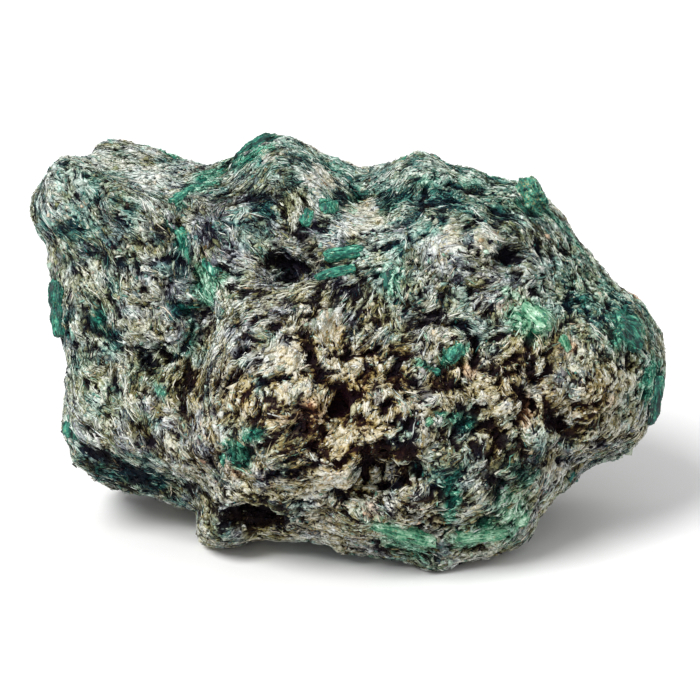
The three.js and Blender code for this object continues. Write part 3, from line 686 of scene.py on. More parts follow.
class Here:
    """Points of the stone, and what the picture says about them."""

    def __init__(self, points, outward):
        self.points = points
        self.outward = outward
        self.x, self.y = to_photo(points)
        self.seen = ramp(*SEEN_RISE, outward @ TOWARDS)
        self.fray = swells(points, *FRAY)
        self.bent_x = self.x + layered(points, BEND_X)
        self.bent_y = self.y + layered(points, BEND_Y)

    def shown(self, spots, edge=1.0):
        """How far the points are in spots, on the side that shows."""
        return self.seen * inside(spots, self.bent_x, self.bent_y, edge)

    def hidden(self, spacing, seed, low, high):
        """How far they are in patches of noise, on the sides that don't."""
        patches = swells(self.points, spacing, seed) + HIDDEN_FRAY * self.fray
        return (1 - self.seen) * ramp(low, high, patches)

    def zone(self, kind):
        """How far they are in a kind of spot, shown or hidden."""
        low = 1 - 2 * kind.share
        return self.shown(kind.spots) + self.hidden(kind.spacing, kind.seed, low, low + HIDDEN_EDGE)


sample = Here(places[::SAMPLE_STEP], outwards[::SAMPLE_STEP])
print(f"of a sample of {len(sample.points)} points, {sample.zone(GREEN).mean():.0%} is green ground")

# %% [markdown]
# The rock is made of grains a millimetre wide, each with its own number. Low numbers are gaps, where a
# grain has fallen out and left a dark hole, and high numbers are pale. Strands are finer and longer, and a
# low number makes one a slit. Coarse zones have many gaps and slits, and crumbs of pale rock between them,
# and fine zones have few. Where the rock is pale it is sound, and gaps are rare.

# %% Grains, strands and openings
GRAIN = {"spacing": 1.1, "stretch": 2.0, "seed": 31}
STRAND = {"spacing": 0.5, "stretch": 3.6, "seed": 32}
RAGGED_BY_GRAIN = 0.55
RAGGED_BY_STRAND = 0.3
HOLLOW_EDGE = 1.4
HOLLOW_RISE = (0.5, 0.66)
HOLLOW_CORE = 0.8
HIDDEN_HOLLOW = 0.9
HIDDEN_HOLLOW_PATCHES = (2.6, 21, 0.4, 0.66)
CRUMBS = 0.65
CRUMB_SWELLS = (1.3, 46)
CRUMB_RISE = (0.2, 0.5)
PALE_RISE = (0.3, 0.75)
PALE_RAGGED = 0.35
CROWDING = 1.1
CROWD_SWELLS = (2.6, 45)
CROWD_RANGE = (0.1, 2)
PALE_SOUND = 0.9
GAPS_FINE = 0.025
GAPS_COARSE = 0.34
GAP_JOINT = (0.03, 0.16)
SLITS_FINE = 0.12
SLITS_COARSE = 0.33
SLIT_JOINT = (0.0, 0.1)


def texture_at(here):
    """Which way the mica lies, and the grains, strands, pale lumps and openings."""
    t = SimpleNamespace(coarse=here.zone(COARSE))
    t.lie = lie_of(here.points, here.outward, here.x, here.y, here.seen, t.coarse)
    t.grain_far, t.grain_joint, t.grain = shards(here.points, t.lie, **GRAIN)
    _, strand_joint, t.strand = shards(here.points, t.lie, **STRAND)
    t.ragged = RAGGED_BY_GRAIN * (t.grain - 0.5) + RAGGED_BY_STRAND * (t.strand - 0.5)
    t.deep = here.shown(HOLLOWS, HOLLOW_EDGE) + HIDDEN_HOLLOW * here.hidden(*HIDDEN_HOLLOW_PATCHES)
    t.hollow = ramp(*HOLLOW_RISE, np.minimum(t.deep, HOLLOW_CORE) + t.ragged)
    crumbs = CRUMBS * t.coarse * ramp(*CRUMB_RISE, swells(here.points, *CRUMB_SWELLS))
    t.pale = ramp(*PALE_RISE, np.maximum(here.zone(PALE), crumbs) + PALE_RAGGED * t.ragged)
    crowd = np.clip(1 + CROWDING * swells(here.points, *CROWD_SWELLS), *CROWD_RANGE)
    crowd = crowd * (1 - PALE_SOUND * t.pale)
    t.gap = t.grain < crowd * (GAPS_FINE + GAPS_COARSE * t.coarse)
    t.gap = t.gap * ramp(*GAP_JOINT, t.grain_joint)
    t.slit = t.strand < crowd * (SLITS_FINE + SLITS_COARSE * t.coarse)
    t.slit = t.slit * ramp(*SLIT_JOINT, strand_joint)
    t.opening = np.maximum(np.maximum(t.gap, t.hollow), t.slit)
    return t


texture = texture_at(sample)
print(f"{texture.gap.mean():.0%} of the sample is gaps, {texture.slit.mean():.0%} slits,",
      f"{texture.hollow.mean():.0%} hollows and {texture.pale.mean():.0%} pale")

# %% [markdown]
# The tone says how light the rock is, from 0 for black to 1 for white. It differs from grain to grain and
# from strand to strand, drifts in clouds, and is darker in the joints of coarse rock. Pale lumps pull it
# up. The light zones raise it, with painted light on the shelf top, and the dark spots lower it, as stains
# and as painted shadow. Openings are painted nearly black, as painted shade. The other masks choose the
# colours, and a teal veil lies over parts of everything.

# %% Tone and colour masks
GROUND_TONE = 0.565
GRAIN_TONE = 0.4
GRAIN_TONE_COARSE = 0.16
STRAND_TONE = 0.36
CLOUDS = [(1.5, 0.15, 41), (4.2, 0.15, 42)]
LIGHTER = 0.1
JOINT_SHADE = 0.3
JOINT_RISE = (0.0, 0.3)
STAIN_AND_SHADOW_DARKENING = 0.55
PALE_TONE = 0.81
PALE_TONE_SPREAD = 0.3
OPENING_PAINTED_SHADE = 0.95
GREEN_RISE = (0.12, 0.72)
GREEN_RAGGED = 0.2
MINT_BY_GRAIN = 0.12
PALE_WARM = 0.5
PALE_NOT_COOL = 0.8
TEAL_VEIL = 0.4
VEIL_SWELLS = (2.2, 47)
VEIL_RISE = (0.1, 0.6)
TINT_GROUND = 0.42
TINT_COARSE = 0.3
TINT_SWELLS = [(1.3, 0.65, 43), (3.0, 0.3, 44)]


def masks_at(here, t):
    """The tone and the colour masks."""
    # dark holds the stains and the painted shadow of the dark spots
    dark = here.shown(STAINS_AND_PAINTED_SHADOW)
    tone = GROUND_TONE + (GRAIN_TONE + GRAIN_TONE_COARSE * t.coarse) * (t.grain - 0.5)
    tone += STRAND_TONE * (t.strand - 0.5) + layered(here.points, CLOUDS) + LIGHTER * here.zone(LIGHTER_AND_PAINTED_LIGHT)
    tone -= JOINT_SHADE * t.coarse * (1 - ramp(*JOINT_RISE, t.grain_joint)) + STAIN_AND_SHADOW_DARKENING * dark
    pale_tone = PALE_TONE + PALE_TONE_SPREAD * (t.grain + t.strand - 1)
    tone += t.pale * (pale_tone - tone)
    veil = TEAL_VEIL * ramp(*VEIL_RISE, swells(here.points, *VEIL_SWELLS))
    return {
        "green": ramp(*GREEN_RISE, here.zone(GREEN) + GREEN_RAGGED * t.ragged),
        "mint": here.zone(MINT) + MINT_BY_GRAIN * (t.grain - 0.5),
        "rust": here.zone(RUST),
        "warm": here.zone(WARM) + PALE_WARM * t.pale,
        "cool": (np.maximum(here.zone(COOL), dark) + veil) * (1 - PALE_NOT_COOL * t.pale),
        "tint": TINT_GROUND + TINT_COARSE * t.coarse + layered(here.points, TINT_SWELLS),
        # painted shade: openings are painted nearly black
        "tone": tone * (1 - OPENING_PAINTED_SHADE * t.opening),
    }


for key, mask in masks_at(sample, texture).items():
    print(f"{key} runs from {mask.min():.2f} to {mask.max():.2f}, and is {mask.mean():.2f} on the whole")

# %% [markdown]
# The rise is how far the surface moves outwards. Each grain is a little dome at a level of its own, and
# openings sink, gaps and hollows deeper in coarse rock. Then one function gathers all this for any points,
# and the body and the flakes both ask it, so they always agree.

# %% Rise of the surface
SWELLING = [(3.1, 0.3, 33)]
GROUND_HEIGHT = 0.12
STRAND_HEIGHT = 0.1
DOME_HEIGHT = 0.28
DOME_HEIGHT_COARSE = 0.24
DOME_TOP = 0.5
DOME_LEVEL = 0.9
PALE_SWOLLEN = 0.14
DEPTH_FINE = 0.4
DEPTH_COARSE = 0.6
GAP_DEPTH = 0.7
HOLLOW_DEPTH = 0.95
HOLLOW_LIMIT = 1.5
SLIT_DEPTH = 0.2


def rise_at(here, t):
    """The rise of the surface in millimetres."""
    dome = DOME_TOP + DOME_LEVEL * (t.grain - 0.5) - t.grain_far
    rise = layered(here.points, SWELLING) + GROUND_HEIGHT + STRAND_HEIGHT * (t.strand - 0.5)
    rise += (DOME_HEIGHT + DOME_HEIGHT_COARSE * t.coarse) * dome + PALE_SWOLLEN * t.pale * (1 - t.grain_far)
    sunk = GAP_DEPTH * t.gap + HOLLOW_DEPTH * t.hollow * np.minimum(t.deep, HOLLOW_LIMIT)
    return rise - (DEPTH_FINE + DEPTH_COARSE * t.coarse) * sunk - SLIT_DEPTH * t.slit


def stone_at(points, outward):
    """The masks at each point, and what else is known there."""
    here = Here(points, outward)
    t = texture_at(here)
    about = {"seen": here.seen, "lie": t.lie, "rise": rise_at(here, t), "gap": t.opening,
             "pale": t.pale, "coarse": t.coarse}
    return masks_at(here, t), about


masks, about = stone_at(places, outwards)
print(f"of the body {about['seen'].mean():.0%} faces the camera, {masks['green'].mean():.0%} is green and",
      f"{about['gap'].mean():.0%} is open")

# %% [markdown]
# Now the body is broken: every point moves along its outward direction by the rise found for it, and a
# little more beside a crystal, so that the rock grips the crystal's foot. The flat patch that the stone
# rests on stays flat. A bump in the finish would look much the same from the front, but the outline would
# stay smooth. How far a point lies below the mean of its neighbourhood says whether it is in a cavity, and
# cavities are painted darker, as painted shade.

# %% Break the surface
REST_FADE = 1.2
HUG = 0.3
SMOOTH_FACING = 1
NEIGHBOURHOOD = 12

rest = ramp(0, REST_FADE, places[:, 2])
broken = places + outwards * ((about["rise"] + HUG * hug) * rest)[:, None]
broken[:, 2] = np.maximum(broken[:, 2], 0)
facing = unit(settle(normals_at(broken, triangles), SMOOTH_FACING))
cavity = ((settle(broken, NEIGHBOURHOOD) - broken) * facing).sum(1)
print(f"the surface moved by {about['rise'].min():.2f} to {about['rise'].max():.2f} mm;",
      f"cavities are about {cavity.std():.2f} mm deep")

# %% [markdown]
# Finishes are node trees, and writing them as arithmetic keeps them readable. A Wire is one value in a
# tree, and the usual operators on it add Math nodes, also with the number first, as in 1 - mask.

# %% Values in a node tree
class Wire:
    """A value in a node tree."""

    def __init__(self, finish, socket):
        self.finish = finish
        self.socket = socket

    def math(self, operation, *values):
        """A Math node on these values."""
        return self.finish.node("ShaderNodeMath", {"operation": operation}, dict(enumerate(values)))

    def __add__(self, other):
        return self.math("ADD", self, other)

    def __sub__(self, other):
        return self.math("SUBTRACT", self, other)

    def __rsub__(self, other):
        return self.math("SUBTRACT", other, self)

    def __mul__(self, other):
        return self.math("MULTIPLY", self, other)

    __radd__ = __add__
    __rmul__ = __mul__


print("a number may come first in", ", ".join(name for name in vars(Wire) if name.startswith("__r")))

# %% [markdown]
# A Finish is a material being made. It starts from one Principled shader, whose sockets are fed by name.
# One method adds any node, with its settings first and then its inputs, and a few short ones stand for
# the nodes that are used most. Colours are written as six hexadecimal digits, as a screen shows them, and
# changed to the linear values that a node takes.

# %% A finish
class Finish:
    """A material of one Principled shader, whose sockets are fed by name."""

    def __init__(self, name, **sockets):
        self.material = bpy.data.materials.new(name)
        self.material.use_nodes = True
        self.tree = self.material.node_tree
        self.shader = self.tree.nodes["Principled BSDF"]
        for key, value in sockets.items():
            self.feed(key.replace("_", " ").title().replace("Ior", "IOR"), value)

    def link(self, value, socket):
        """Joins a Wire to a socket, or sets a constant on it."""
        if isinstance(value, Wire):
            self.tree.links.new(value.socket, socket)
        else:
            socket.default_value = value

    def feed(self, socket, value):
        """Feeds a socket of the shader."""
        self.link(value, self.shader.inputs[socket])

    def node(self, kind, settings=None, inputs=None, output=0):
        """Adds any node, and gives one of its outputs."""
        made = self.tree.nodes.new(kind)
        for key, value in (settings or {}).items():
            if key == "stops":
                elements = made.color_ramp.elements
                while len(elements) < len(value):
                    elements.new(1)
                for element, (position, colour) in zip(elements, value):
                    element.position = position
                    element.color = colour
            else:
                setattr(made, key, value)
        for key, value in (inputs or {}).items():
            self.link(value, made.inputs[key])
        return Wire(self, made.outputs[output])

    def mask(self, name):
        """A number stored on the mesh's points."""
        return self.node("ShaderNodeAttribute", {"attribute_name": name}, output="Fac")

    def noise(self, per_mm, detail=3):
        """Even noise through the stone, with so many swells to a millimetre."""
        place = self.node("ShaderNodeTexCoord", output="Object")
        return self.node("ShaderNodeTexNoise", {}, {
            "Vector": place, "Scale": per_mm * MM, "Detail": detail})

    def combed_noise(self, scale, detail, distortion):
        """Noise that looks drawn out, read at the place that is stored on the mesh as its comb."""
        place = self.node("ShaderNodeAttribute", {"attribute_name": "comb"}, output="Vector")
        return self.node("ShaderNodeTexNoise", {}, {
            "Vector": place, "Scale": scale, "Detail": detail, "Distortion": distortion})

    def bump(self, height, strength, distance):
        """Seems to raise the surface where the height is great, by tilting its normal."""
        self.feed("Normal", self.node(
            "ShaderNodeBump", {}, {"Strength": strength, "Distance": distance, "Height": height}))

    def shade(self, value, colours):
        """A value through a ramp of colours."""
        return self.node("ShaderNodeValToRGB", {"stops": colours}, {"Fac": value})

    def mix(self, factor, first, second):
        """Two colours mixed."""
        return self.node("ShaderNodeMix", {"data_type": "RGBA"}, {0: factor, 6: first, 7: second}, 2)


def paint(code):
    """A colour written as six hexadecimal digits, in linear values, by the formula of the sRGB standard."""
    parts = [int(code[k:k + 2], 16) / 255 for k in (0, 2, 4)]
    return (*[p / 12.92 if p <= 0.04045 else ((p + 0.055) / 1.055) ** 2.4 for p in parts], 1)


def stops(*pairs):
    """The stops of a colour ramp, from positions and colours in turn."""
    return [(position, paint(code)) for position, code in zip(pairs[::2], pairs[1::2])]


print(f"a middle grey, 808080 on screen, is {paint('808080')[0]:.2f} in a node")

# %% [markdown]
# Schist colour is the same recipe on the body and on the flakes. A tone picks a place on a ramp from near
# black to cream. Two ramps do this, one violet in its shadows and one olive, and a tint mixes them in
# clouds a millimetre wide, because mica scatters blue where it is thin and iron warms it. Other masks bring
# in the teal ground, the iron stain and the green. The masks are stored on the meshes.

# %% Schist colour
VIOLET_RAMP = stops(0.0, "04010f", 0.2, "1c1728", 0.5, "777b83", 0.75, "b3b9bb", 1.0, "dee2df")
OLIVE_RAMP = stops(0.0, "0b0303", 0.2, "2b2a09", 0.5, "8a8d60", 0.75, "c2c4af", 1.0, "e0e0d3")
WARM_RAMP = stops(0.0, "130108", 0.2, "321a0b", 0.5, "96824d", 0.75, "c1b594", 1.0, "d4cfc0")
TEAL_RAMP = stops(0.0, "010611", 0.22, "082833", 0.5, "3c7b71", 0.75, "93b8a8", 1.0, "d4e1da")
DEEP_RAMP = stops(0.0, "01100f", 0.3, "063a36", 0.55, "176b5a", 0.8, "55a688", 1.0, "b4dcc6")
MINT_RAMP = stops(0.0, "0a3327", 0.3, "2d7a58", 0.6, "82b08f", 1.0, "d8eedb")
RUST_RAMP = stops(0.0, "180a05", 0.4, "6b402c", 0.7, "bb8c6a", 1.0, "ecc9a0")
WARM_BY_TINT = 0.15
COOL_BY_TINT = 1.45


def schist_colour(finish, tone):
    """The stone's colour at a tone from 0 to 1, from the masks on the mesh."""
    tint = finish.mask("tint")
    colour = finish.mix(tint, finish.shade(tone, VIOLET_RAMP), finish.shade(tone, OLIVE_RAMP))
    colour = finish.mix(finish.mask("warm") * (WARM_BY_TINT + tint), colour, finish.shade(tone, WARM_RAMP))
    colour = finish.mix(finish.mask("cool") * (COOL_BY_TINT - tint), colour, finish.shade(tone, TEAL_RAMP))
    colour = finish.mix(finish.mask("rust"), colour, finish.shade(tone, RUST_RAMP))
    green = finish.mix(finish.mask("mint"), finish.shade(tone, DEEP_RAMP), finish.shade(tone, MINT_RAMP))
    return finish.mix(finish.mask("green"), colour, green)


print("the lightest violet schist is", [round(part, 2) for part in VIOLET_RAMP[-1][1]])

# %% [markdown]
# A mica flake is a mirror when it is fresh and dull when it is weathered. So its roughness is a number of
# its own, and the brightest flakes get a clear coat, for the sharp glint that mica has. A mottle of a fifth
# of a millimetre stands for flakes too fine to be built.

# %% Flake finish
MOTTLE = 0.8
SMOOTHEST = 0.3
DULLER = 0.45

flake_finish = Finish("mica_flakes", specular_ior_level=0.12, coat_roughness=0.25)
flake_tone = flake_finish.mask("tone") + MOTTLE * (flake_finish.noise(per_mm=5) - 0.5)
flake_finish.feed("Base Color", schist_colour(flake_finish, flake_tone))
flake_finish.feed("Roughness", SMOOTHEST + DULLER * flake_finish.mask("dull"))
flake_finish.feed("Coat Weight", flake_finish.mask("shine"))
print("the flake finish has", len(flake_finish.tree.nodes), "nodes")

# %% [markdown]
# Between the flakes the body itself must look fibrous too. A noise does this when it is read at a place
# that is squeezed along the mica, so that it looks drawn out. That place is stored on the mesh, under the
# name comb, when the body is made. The same noise raises the fibres a little.

# %% Fibrous body finish
FIBRE_DARK = 0.35
FIBRE_LIGHT = 1.3
SPECKLE = 0.5
BODY_ROUGH = 0.9
FIBRE_SMOOTHER = 0.5
SPECKLE_HEIGHT = 0.4

body_finish = Finish("schist_body", specular_ior_level=0.1)
fibres = body_finish.combed_noise(scale=5.5, detail=4, distortion=0.6)
specks = body_finish.noise(per_mm=3.2, detail=4)
body_tone = body_finish.mask("tone") * (FIBRE_DARK + FIBRE_LIGHT * fibres) + SPECKLE * (specks - 0.5)
body_finish.feed("Base Color", schist_colour(body_finish, body_tone))
body_finish.feed("Roughness", BODY_ROUGH - FIBRE_SMOOTHER * fibres)
body_finish.bump(fibres + SPECKLE_HEIGHT * specks, strength=0.9, distance=0.00016)
print("the body finish has", len(body_finish.tree.nodes), "nodes")

# %% [markdown]
# A helper turns arrays into a mesh in one go. Blender's from_pydata works through lists, which is slow with
# half a million faces. Filling the mesh's own arrays is quick, and the named values are stored with them.

# %% Meshes from arrays
def mesh_from(name, points, faces, values, finish):
    """A mesh of triangles from points in millimetres, with named values on its points."""
    mesh = bpy.data.meshes.new(name)
    mesh.vertices.add(len(points))
    mesh.vertices.foreach_set("co", (points / MM).astype(np.float32).ravel())
    mesh.loops.add(3 * len(faces))
    mesh.loops.foreach_set("vertex_index", faces.astype(np.int32).ravel())
    mesh.polygons.add(len(faces))
    mesh.polygons.foreach_set("loop_start", np.arange(0, 3 * len(faces), 3, dtype=np.int32))
    mesh.update(calc_edges=True)
    for key, value in values.items():
        stored = mesh.attributes.new(key, "FLOAT", "POINT")
        stored.data.foreach_set("value", value.astype(np.float32))
    mesh.materials.append(finish.material)
    mesh.validate()
    return mesh


def store_comb(mesh, domain, places):
    """Stores the places at which a finish reads its combed noise."""
    stored = mesh.attributes.new("comb", "FLOAT_VECTOR", domain)
    stored.data.foreach_set("vector", places.astype(np.float32).ravel())


def piece_from(name, mesh):
    """An object that rides with the stone."""
    piece = placed(name, mesh)
    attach(piece, "root")
    return piece


# %% [markdown]
# The mica turns from place to place, and a turning direction smears a noise. So the body is divided into
# patches, each with one direction and its own origin. The place in a patch is measured along the mica,
# where it is squeezed, and across it, and the patch's number keeps the patches apart. It is stored on the
# corners of the faces and not on the points, so that the noise breaks off where two patches meet, as the
# plates of real schist do. The body then takes the place of the packed matrix.

# %% The body
PATCH = {"spacing": 1.5, "stretch": 1.4, "seed": 61}
DRAWN_OUT = 0.16
PATCHES_APART = 37
BODY_CAVITY_PAINTED_SHADE = 0.3
BODY_CAVITY_RISE = (0.05, 0.5)

middles = places[triangles].mean(1)
lie_of_face = unit(about["lie"][triangles].mean(1))
out_of_face = unit(outwards[triangles].mean(1))
_, _, patch = shards(middles, lie_of_face, **PATCH)
patch_names, patch_of_face = np.unique(patch, return_inverse=True)


def patch_mean(values):
    """The mean of the faces' values over each face's patch."""
    sums = [np.bincount(patch_of_face, column) for column in values.T]
    return (np.stack(sums, 1) / np.bincount(patch_of_face)[:, None])[patch_of_face]


centre = patch_mean(middles)
along = unit(patch_mean(lie_of_face))
out = unit(patch_mean(out_of_face))
across = np.cross(out, along)
comb_rows = []
for corner in range(3):
    away = places[triangles[:, corner]] - centre
    lengthwise = DRAWN_OUT * (away * along).sum(1)
    crosswise = (away * across).sum(1)
    comb_rows.append(np.stack([lengthwise, crosswise, PATCHES_APART * patch], 1))
comb = np.stack(comb_rows, 1).reshape(-1, 3)

body_values = dict(masks)
# painted shade: the body is painted darker in its cavities
shaded = masks["tone"] - BODY_CAVITY_PAINTED_SHADE * ramp(*BODY_CAVITY_RISE, cavity)
body_values["tone"] = np.clip(shaded, 0, 1)
body_mesh = mesh_from("schist_body", broken, triangles, body_values, body_finish)
store_comb(body_mesh, "CORNER", comb)
schist = piece_from("schist_body", body_mesh)
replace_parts(schist, "matrix")
print("the body has", len(body_mesh.polygons), "triangles in", len(patch_names), "combed patches")

# %% [markdown]
# The coat of mica is scattered over the body in proportion to area, thinner in gaps and on pale lumps, and
# a little thinner where the picture doesn't look. Nothing lies on the patch that the stone rests on. Each
# point is picked on a face at random, and asks the stone what it is like there.

# %% Scatter points on the body
SEED = 20
HIDDEN_SHARE = 0.55
GAP_SHARE = 0.22
PALE_SHARE = 0.6
FOOT_RISE = (0.15, 0.5)

rng = np.random.default_rng(SEED)
areas = areas_of(broken, triangles)
chance = areas * (HIDDEN_SHARE + (1 - HIDDEN_SHARE) * about["seen"][triangles].mean(1))
chance *= 1 - (1 - GAP_SHARE) * about["gap"][triangles].mean(1)
chance *= 1 - (1 - PALE_SHARE) * about["pale"][triangles].mean(1)
chance *= ramp(*FOOT_RISE, broken[triangles, 2].mean(1))
print(f"the body's surface is {areas.sum():.0f} square mm")


def scattered(count, chance):
    """Random points on the body: place, outward direction, masks, and what else is known there."""
    face = rng.choice(len(triangles), count, p=chance / chance.sum())
    u, v = rng.random((2, count))
    over = u + v > 1
    shares = np.stack([np.where(over, 1 - u, u), np.where(over, 1 - v, v)], 1)
    shares = np.concatenate([1 - shares.sum(1, keepdims=True), shares], 1)[:, :, None]

    def blend(values):
        return (values[triangles[face]].reshape(count, 3, -1) * shares).sum(1)

    there_masks, there = stone_at(blend(places), unit(blend(outwards)))
    there["cavity"] = blend(cavity)[:, 0]
    out = unit(blend(facing))
    there["lie"] = unit(there["lie"] - (there["lie"] * out).sum(1, keepdims=True) * out)
    return blend(broken), out, there_masks, there


# %% [markdown]
# A flake is a splinter of four faces, the fewest that close. It is laid along the mica with one end lifted
# a little, so that it catches the light by itself. Particles would be lost on export, and an object for
# each would be far too many, so thousands of splinters are joined in one mesh. Each has a square of the
# texture map to itself, which an export with baked finishes needs.

# %% Shape the flakes
SPLINTER_FACES = np.array([[0, 1, 2], [0, 3, 1], [0, 2, 3], [1, 3, 2]])
ROLL = 1.6
SKEW = 0.5
UV_TRIANGLE = np.array([[0.15, 0.15], [0.85, 0.15], [0.5, 0.85]])


def turned(first, second, angle):
    """Two directions turned in their own plane."""
    angle = angle[:, None]
    return np.cos(angle) * first + np.sin(angle) * second, np.cos(angle) * second - np.sin(angle) * first


def splinters(place, along, out, size, spread, lifted):
    """Four-faced splinters: size has a length, a width and a thickness for each."""
    count = len(place)
    along, side = turned(along, np.cross(out, along), spread * rng.normal(0, 1, count))
    along, out = turned(along, out, lifted * rng.normal(0, 1, count))
    side, out = turned(side, out, ROLL * lifted * rng.normal(0, 1, count))
    length, width, thick = (size[:, k, None] / 2 for k in range(3))
    thick = thick * np.where(rng.random((count, 1)) < 0.5, 1, -1)
    skew = rng.uniform(-SKEW, SKEW, (2, count, 1))
    points = np.stack([
        place - along * length + out * thick,
        place + along * length + out * thick,
        place + side * width + along * length * skew[0] - out * thick,
        place - side * width + along * length * skew[1] - out * thick], 1)
    volume = (np.cross(points[:, 1] - points[:, 0], points[:, 2] - points[:, 0])
              * (points[:, 3] - points[:, 0])).sum(1)
    inside_out = volume > 0
    points[inside_out, 2:] = points[inside_out][:, [3, 2]]
    return points


def joined_piece(name, points, pattern, values, finish):
    """Many small solids of one pattern as one piece, each with its own square of the texture map."""
    count, corners = points.shape[:2]
    points[:, :, 2] = np.maximum(points[:, :, 2], 0)
    faces = (np.arange(count)[:, None, None] * corners + pattern).reshape(-1, 3)
    spread = {key: np.repeat(value, corners) for key, value in values.items()}
    mesh = mesh_from(name, points.reshape(-1, 3), faces, spread, finish)
    cells = math.ceil(math.sqrt(count))
    square = np.stack([np.arange(count) % cells, np.arange(count) // cells], 1)[:, None, None, :]
    layout = (square + np.tile(UV_TRIANGLE, (1, len(pattern), 1, 1))) / cells
    mesh.uv_layers.new(name="OFBake").data.foreach_set("uv", layout.astype(np.float32).ravel())
    return piece_from(name, mesh)


print("a splinter has", len(SPLINTER_FACES), "faces on", SPLINTER_FACES.max() + 1, "points")

# %% [markdown]
# Each flake starts from the colour of the rock round it and then differs by chance. Some are bright, and
# more are dark, but few on a pale lump. Flakes in a cavity are painted darker, as painted shade, and one in
# five in an opening gets a painted glint. Stray ones are green, teal or rusty wherever they lie, as the
# picture shows.

# %% Colour the flakes
TONE_SPREAD = 0.13
MASK_SPREAD = 0.1
TINT_SPREAD = 0.35
BRIGHT_SHARE = 0.15
BRIGHTER = 0.27
DARK_SHARE = 0.3
DARKER = 0.42
PALE_SPARED = 0.7
CAVITY_PAINTED_SHADE = 0.45
CAVITY_RISE = (0.04, 0.36)
PAINTED_GLINT_SHARE = 0.2
PAINTED_GLINT = 0.3
GREEN_EVERYWHERE = 0.25
GREEN_MORE = 0.8
STRAY_GREEN = 0.012
STRAY_GREENNESS = 0.7
STRAY_TEAL = 0.12
STRAY_TEALNESS = 0.5
STRAY_RUST = (0.4, 0.42)
STRAY_RUSTINESS = 0.4
SHINE = (1.6, -0.5)


def flake_values(there_masks, there, count, lively):
    """The masks and the tone of each flake; a lively flake may differ much from the rock round it."""
    tone = there_masks["tone"] + TONE_SPREAD * lively * rng.normal(0, 1, count)
    luck = rng.random(count)
    bright = luck < BRIGHT_SHARE
    dark = luck > 1 - DARK_SHARE * (1 - PALE_SPARED * there["pale"])
    tone += lively * (1 - there["gap"]) * (BRIGHTER * bright - DARKER * dark)
    # painted shade: flakes in a cavity are painted darker
    tone -= CAVITY_PAINTED_SHADE * ramp(*CAVITY_RISE, there["cavity"])
    # painted glint: one flake in five in an opening is painted lighter
    tone += PAINTED_GLINT * there["gap"] * (luck > 1 - PAINTED_GLINT_SHARE) * rng.random(count)
    values = {}
    for key, value in there_masks.items():
        values[key] = np.clip(value + rng.normal(0, MASK_SPREAD, count), 0, 1)
    values["tone"] = np.clip(tone, 0, 1)
    values["tint"] = np.clip(there_masks["tint"] + rng.normal(0, TINT_SPREAD, count), 0, 1)
    stray = rng.random(count)
    values["green"] *= stray < GREEN_EVERYWHERE + GREEN_MORE * there_masks["green"]
    values["green"] = np.where(stray > 1 - STRAY_GREEN, STRAY_GREENNESS, values["green"])
    values["cool"] = np.clip(values["cool"] + STRAY_TEALNESS * (stray < STRAY_TEAL), 0, 1)
    rusty = (stray > STRAY_RUST[0]) & (stray < STRAY_RUST[1])
    values["rust"] = np.clip(values["rust"] + STRAY_RUSTINESS * rusty, 0, 1)
    values["dull"] = rng.random(count)
    values["shine"] = np.clip(SHINE[0] * values["tone"] + SHINE[1], 0, 1) * rng.random(count)
    return values


print(f"{BRIGHT_SHARE:.0%} of the flakes are bright, and {DARK_SHARE:.0%} are dark")

# %% [markdown]
# There are two sorts of flake. Needles are long, narrow and lively, and lie close along the mica. Platelets
# are shorter and wider, lie more at random, and keep nearer to the tone of the rock, so that they give the
# fine zones their calm sheen. Coarse zones have more of them. All sit half sunk in the body.

# %% Lay the flakes
FLAKE_PIECES = 3
FLAKES_PER_PIECE = 49500
NEEDLES_FINE = 0.56
NEEDLES_FEWER = 0.26
NEEDLE = {"log_length": -0.2, "slender": 0.11, "turned": 0.28, "lively": 1.25}
PLATELET = {"log_length": -0.58, "slender": 0.44, "turned": 0.6, "lively": 0.5}
PLATELET_LIVELIER = 0.65
LOG_SPREAD = 0.35
LENGTHS = (0.22, 1.7)
COARSE_SHORTER = 0.2
WIDTHS = (0.8, 1.4)
THICKNESSES = (0.3, 0.8)
SUNK = (-0.07, 0.045)
LIFT = 0.16

for number in range(FLAKE_PIECES):
    count = FLAKES_PER_PIECE
    place, out, there_masks, there = scattered(count, chance)
    needle = rng.random(count) < NEEDLES_FINE - NEEDLES_FEWER * there["coarse"]
    length = np.where(needle, rng.lognormal(NEEDLE["log_length"], LOG_SPREAD, count),
                      rng.lognormal(PLATELET["log_length"], LOG_SPREAD, count))
    length = np.clip(length, *LENGTHS) * (1 - COARSE_SHORTER * there["coarse"])
    slender = rng.uniform(*WIDTHS, count) * np.where(needle, NEEDLE["slender"], PLATELET["slender"])
    width = length * slender
    thick = width * rng.uniform(*THICKNESSES, count)
    place = place + out * rng.uniform(*SUNK, count)[:, None]
    size = np.stack([length, width, thick], 1)
    spread = np.where(needle, NEEDLE["turned"], PLATELET["turned"])
    shape = splinters(place, there["lie"], out, size, spread, LIFT)
    calm = PLATELET["lively"] + PLATELET_LIVELIER * there["coarse"]
    values = flake_values(there_masks, there, count, np.where(needle, NEEDLE["lively"], calm))
    joined_piece(f"mica_flakes_{number + 1}", shape, SPLINTER_FACES, values, flake_finish)
print(FLAKE_PIECES * FLAKES_PER_PIECE, "flakes are laid")

# %% [markdown]
# Over the flakes lie longer fibres, like combed hair, that bend with the surface. Each is a thin closed
# blade of twelve faces: a tip, two triangular rings and a tip. Its four stations are found by stepping
# along the mica's direction from the middle and dropping each station to the nearest point of the body.

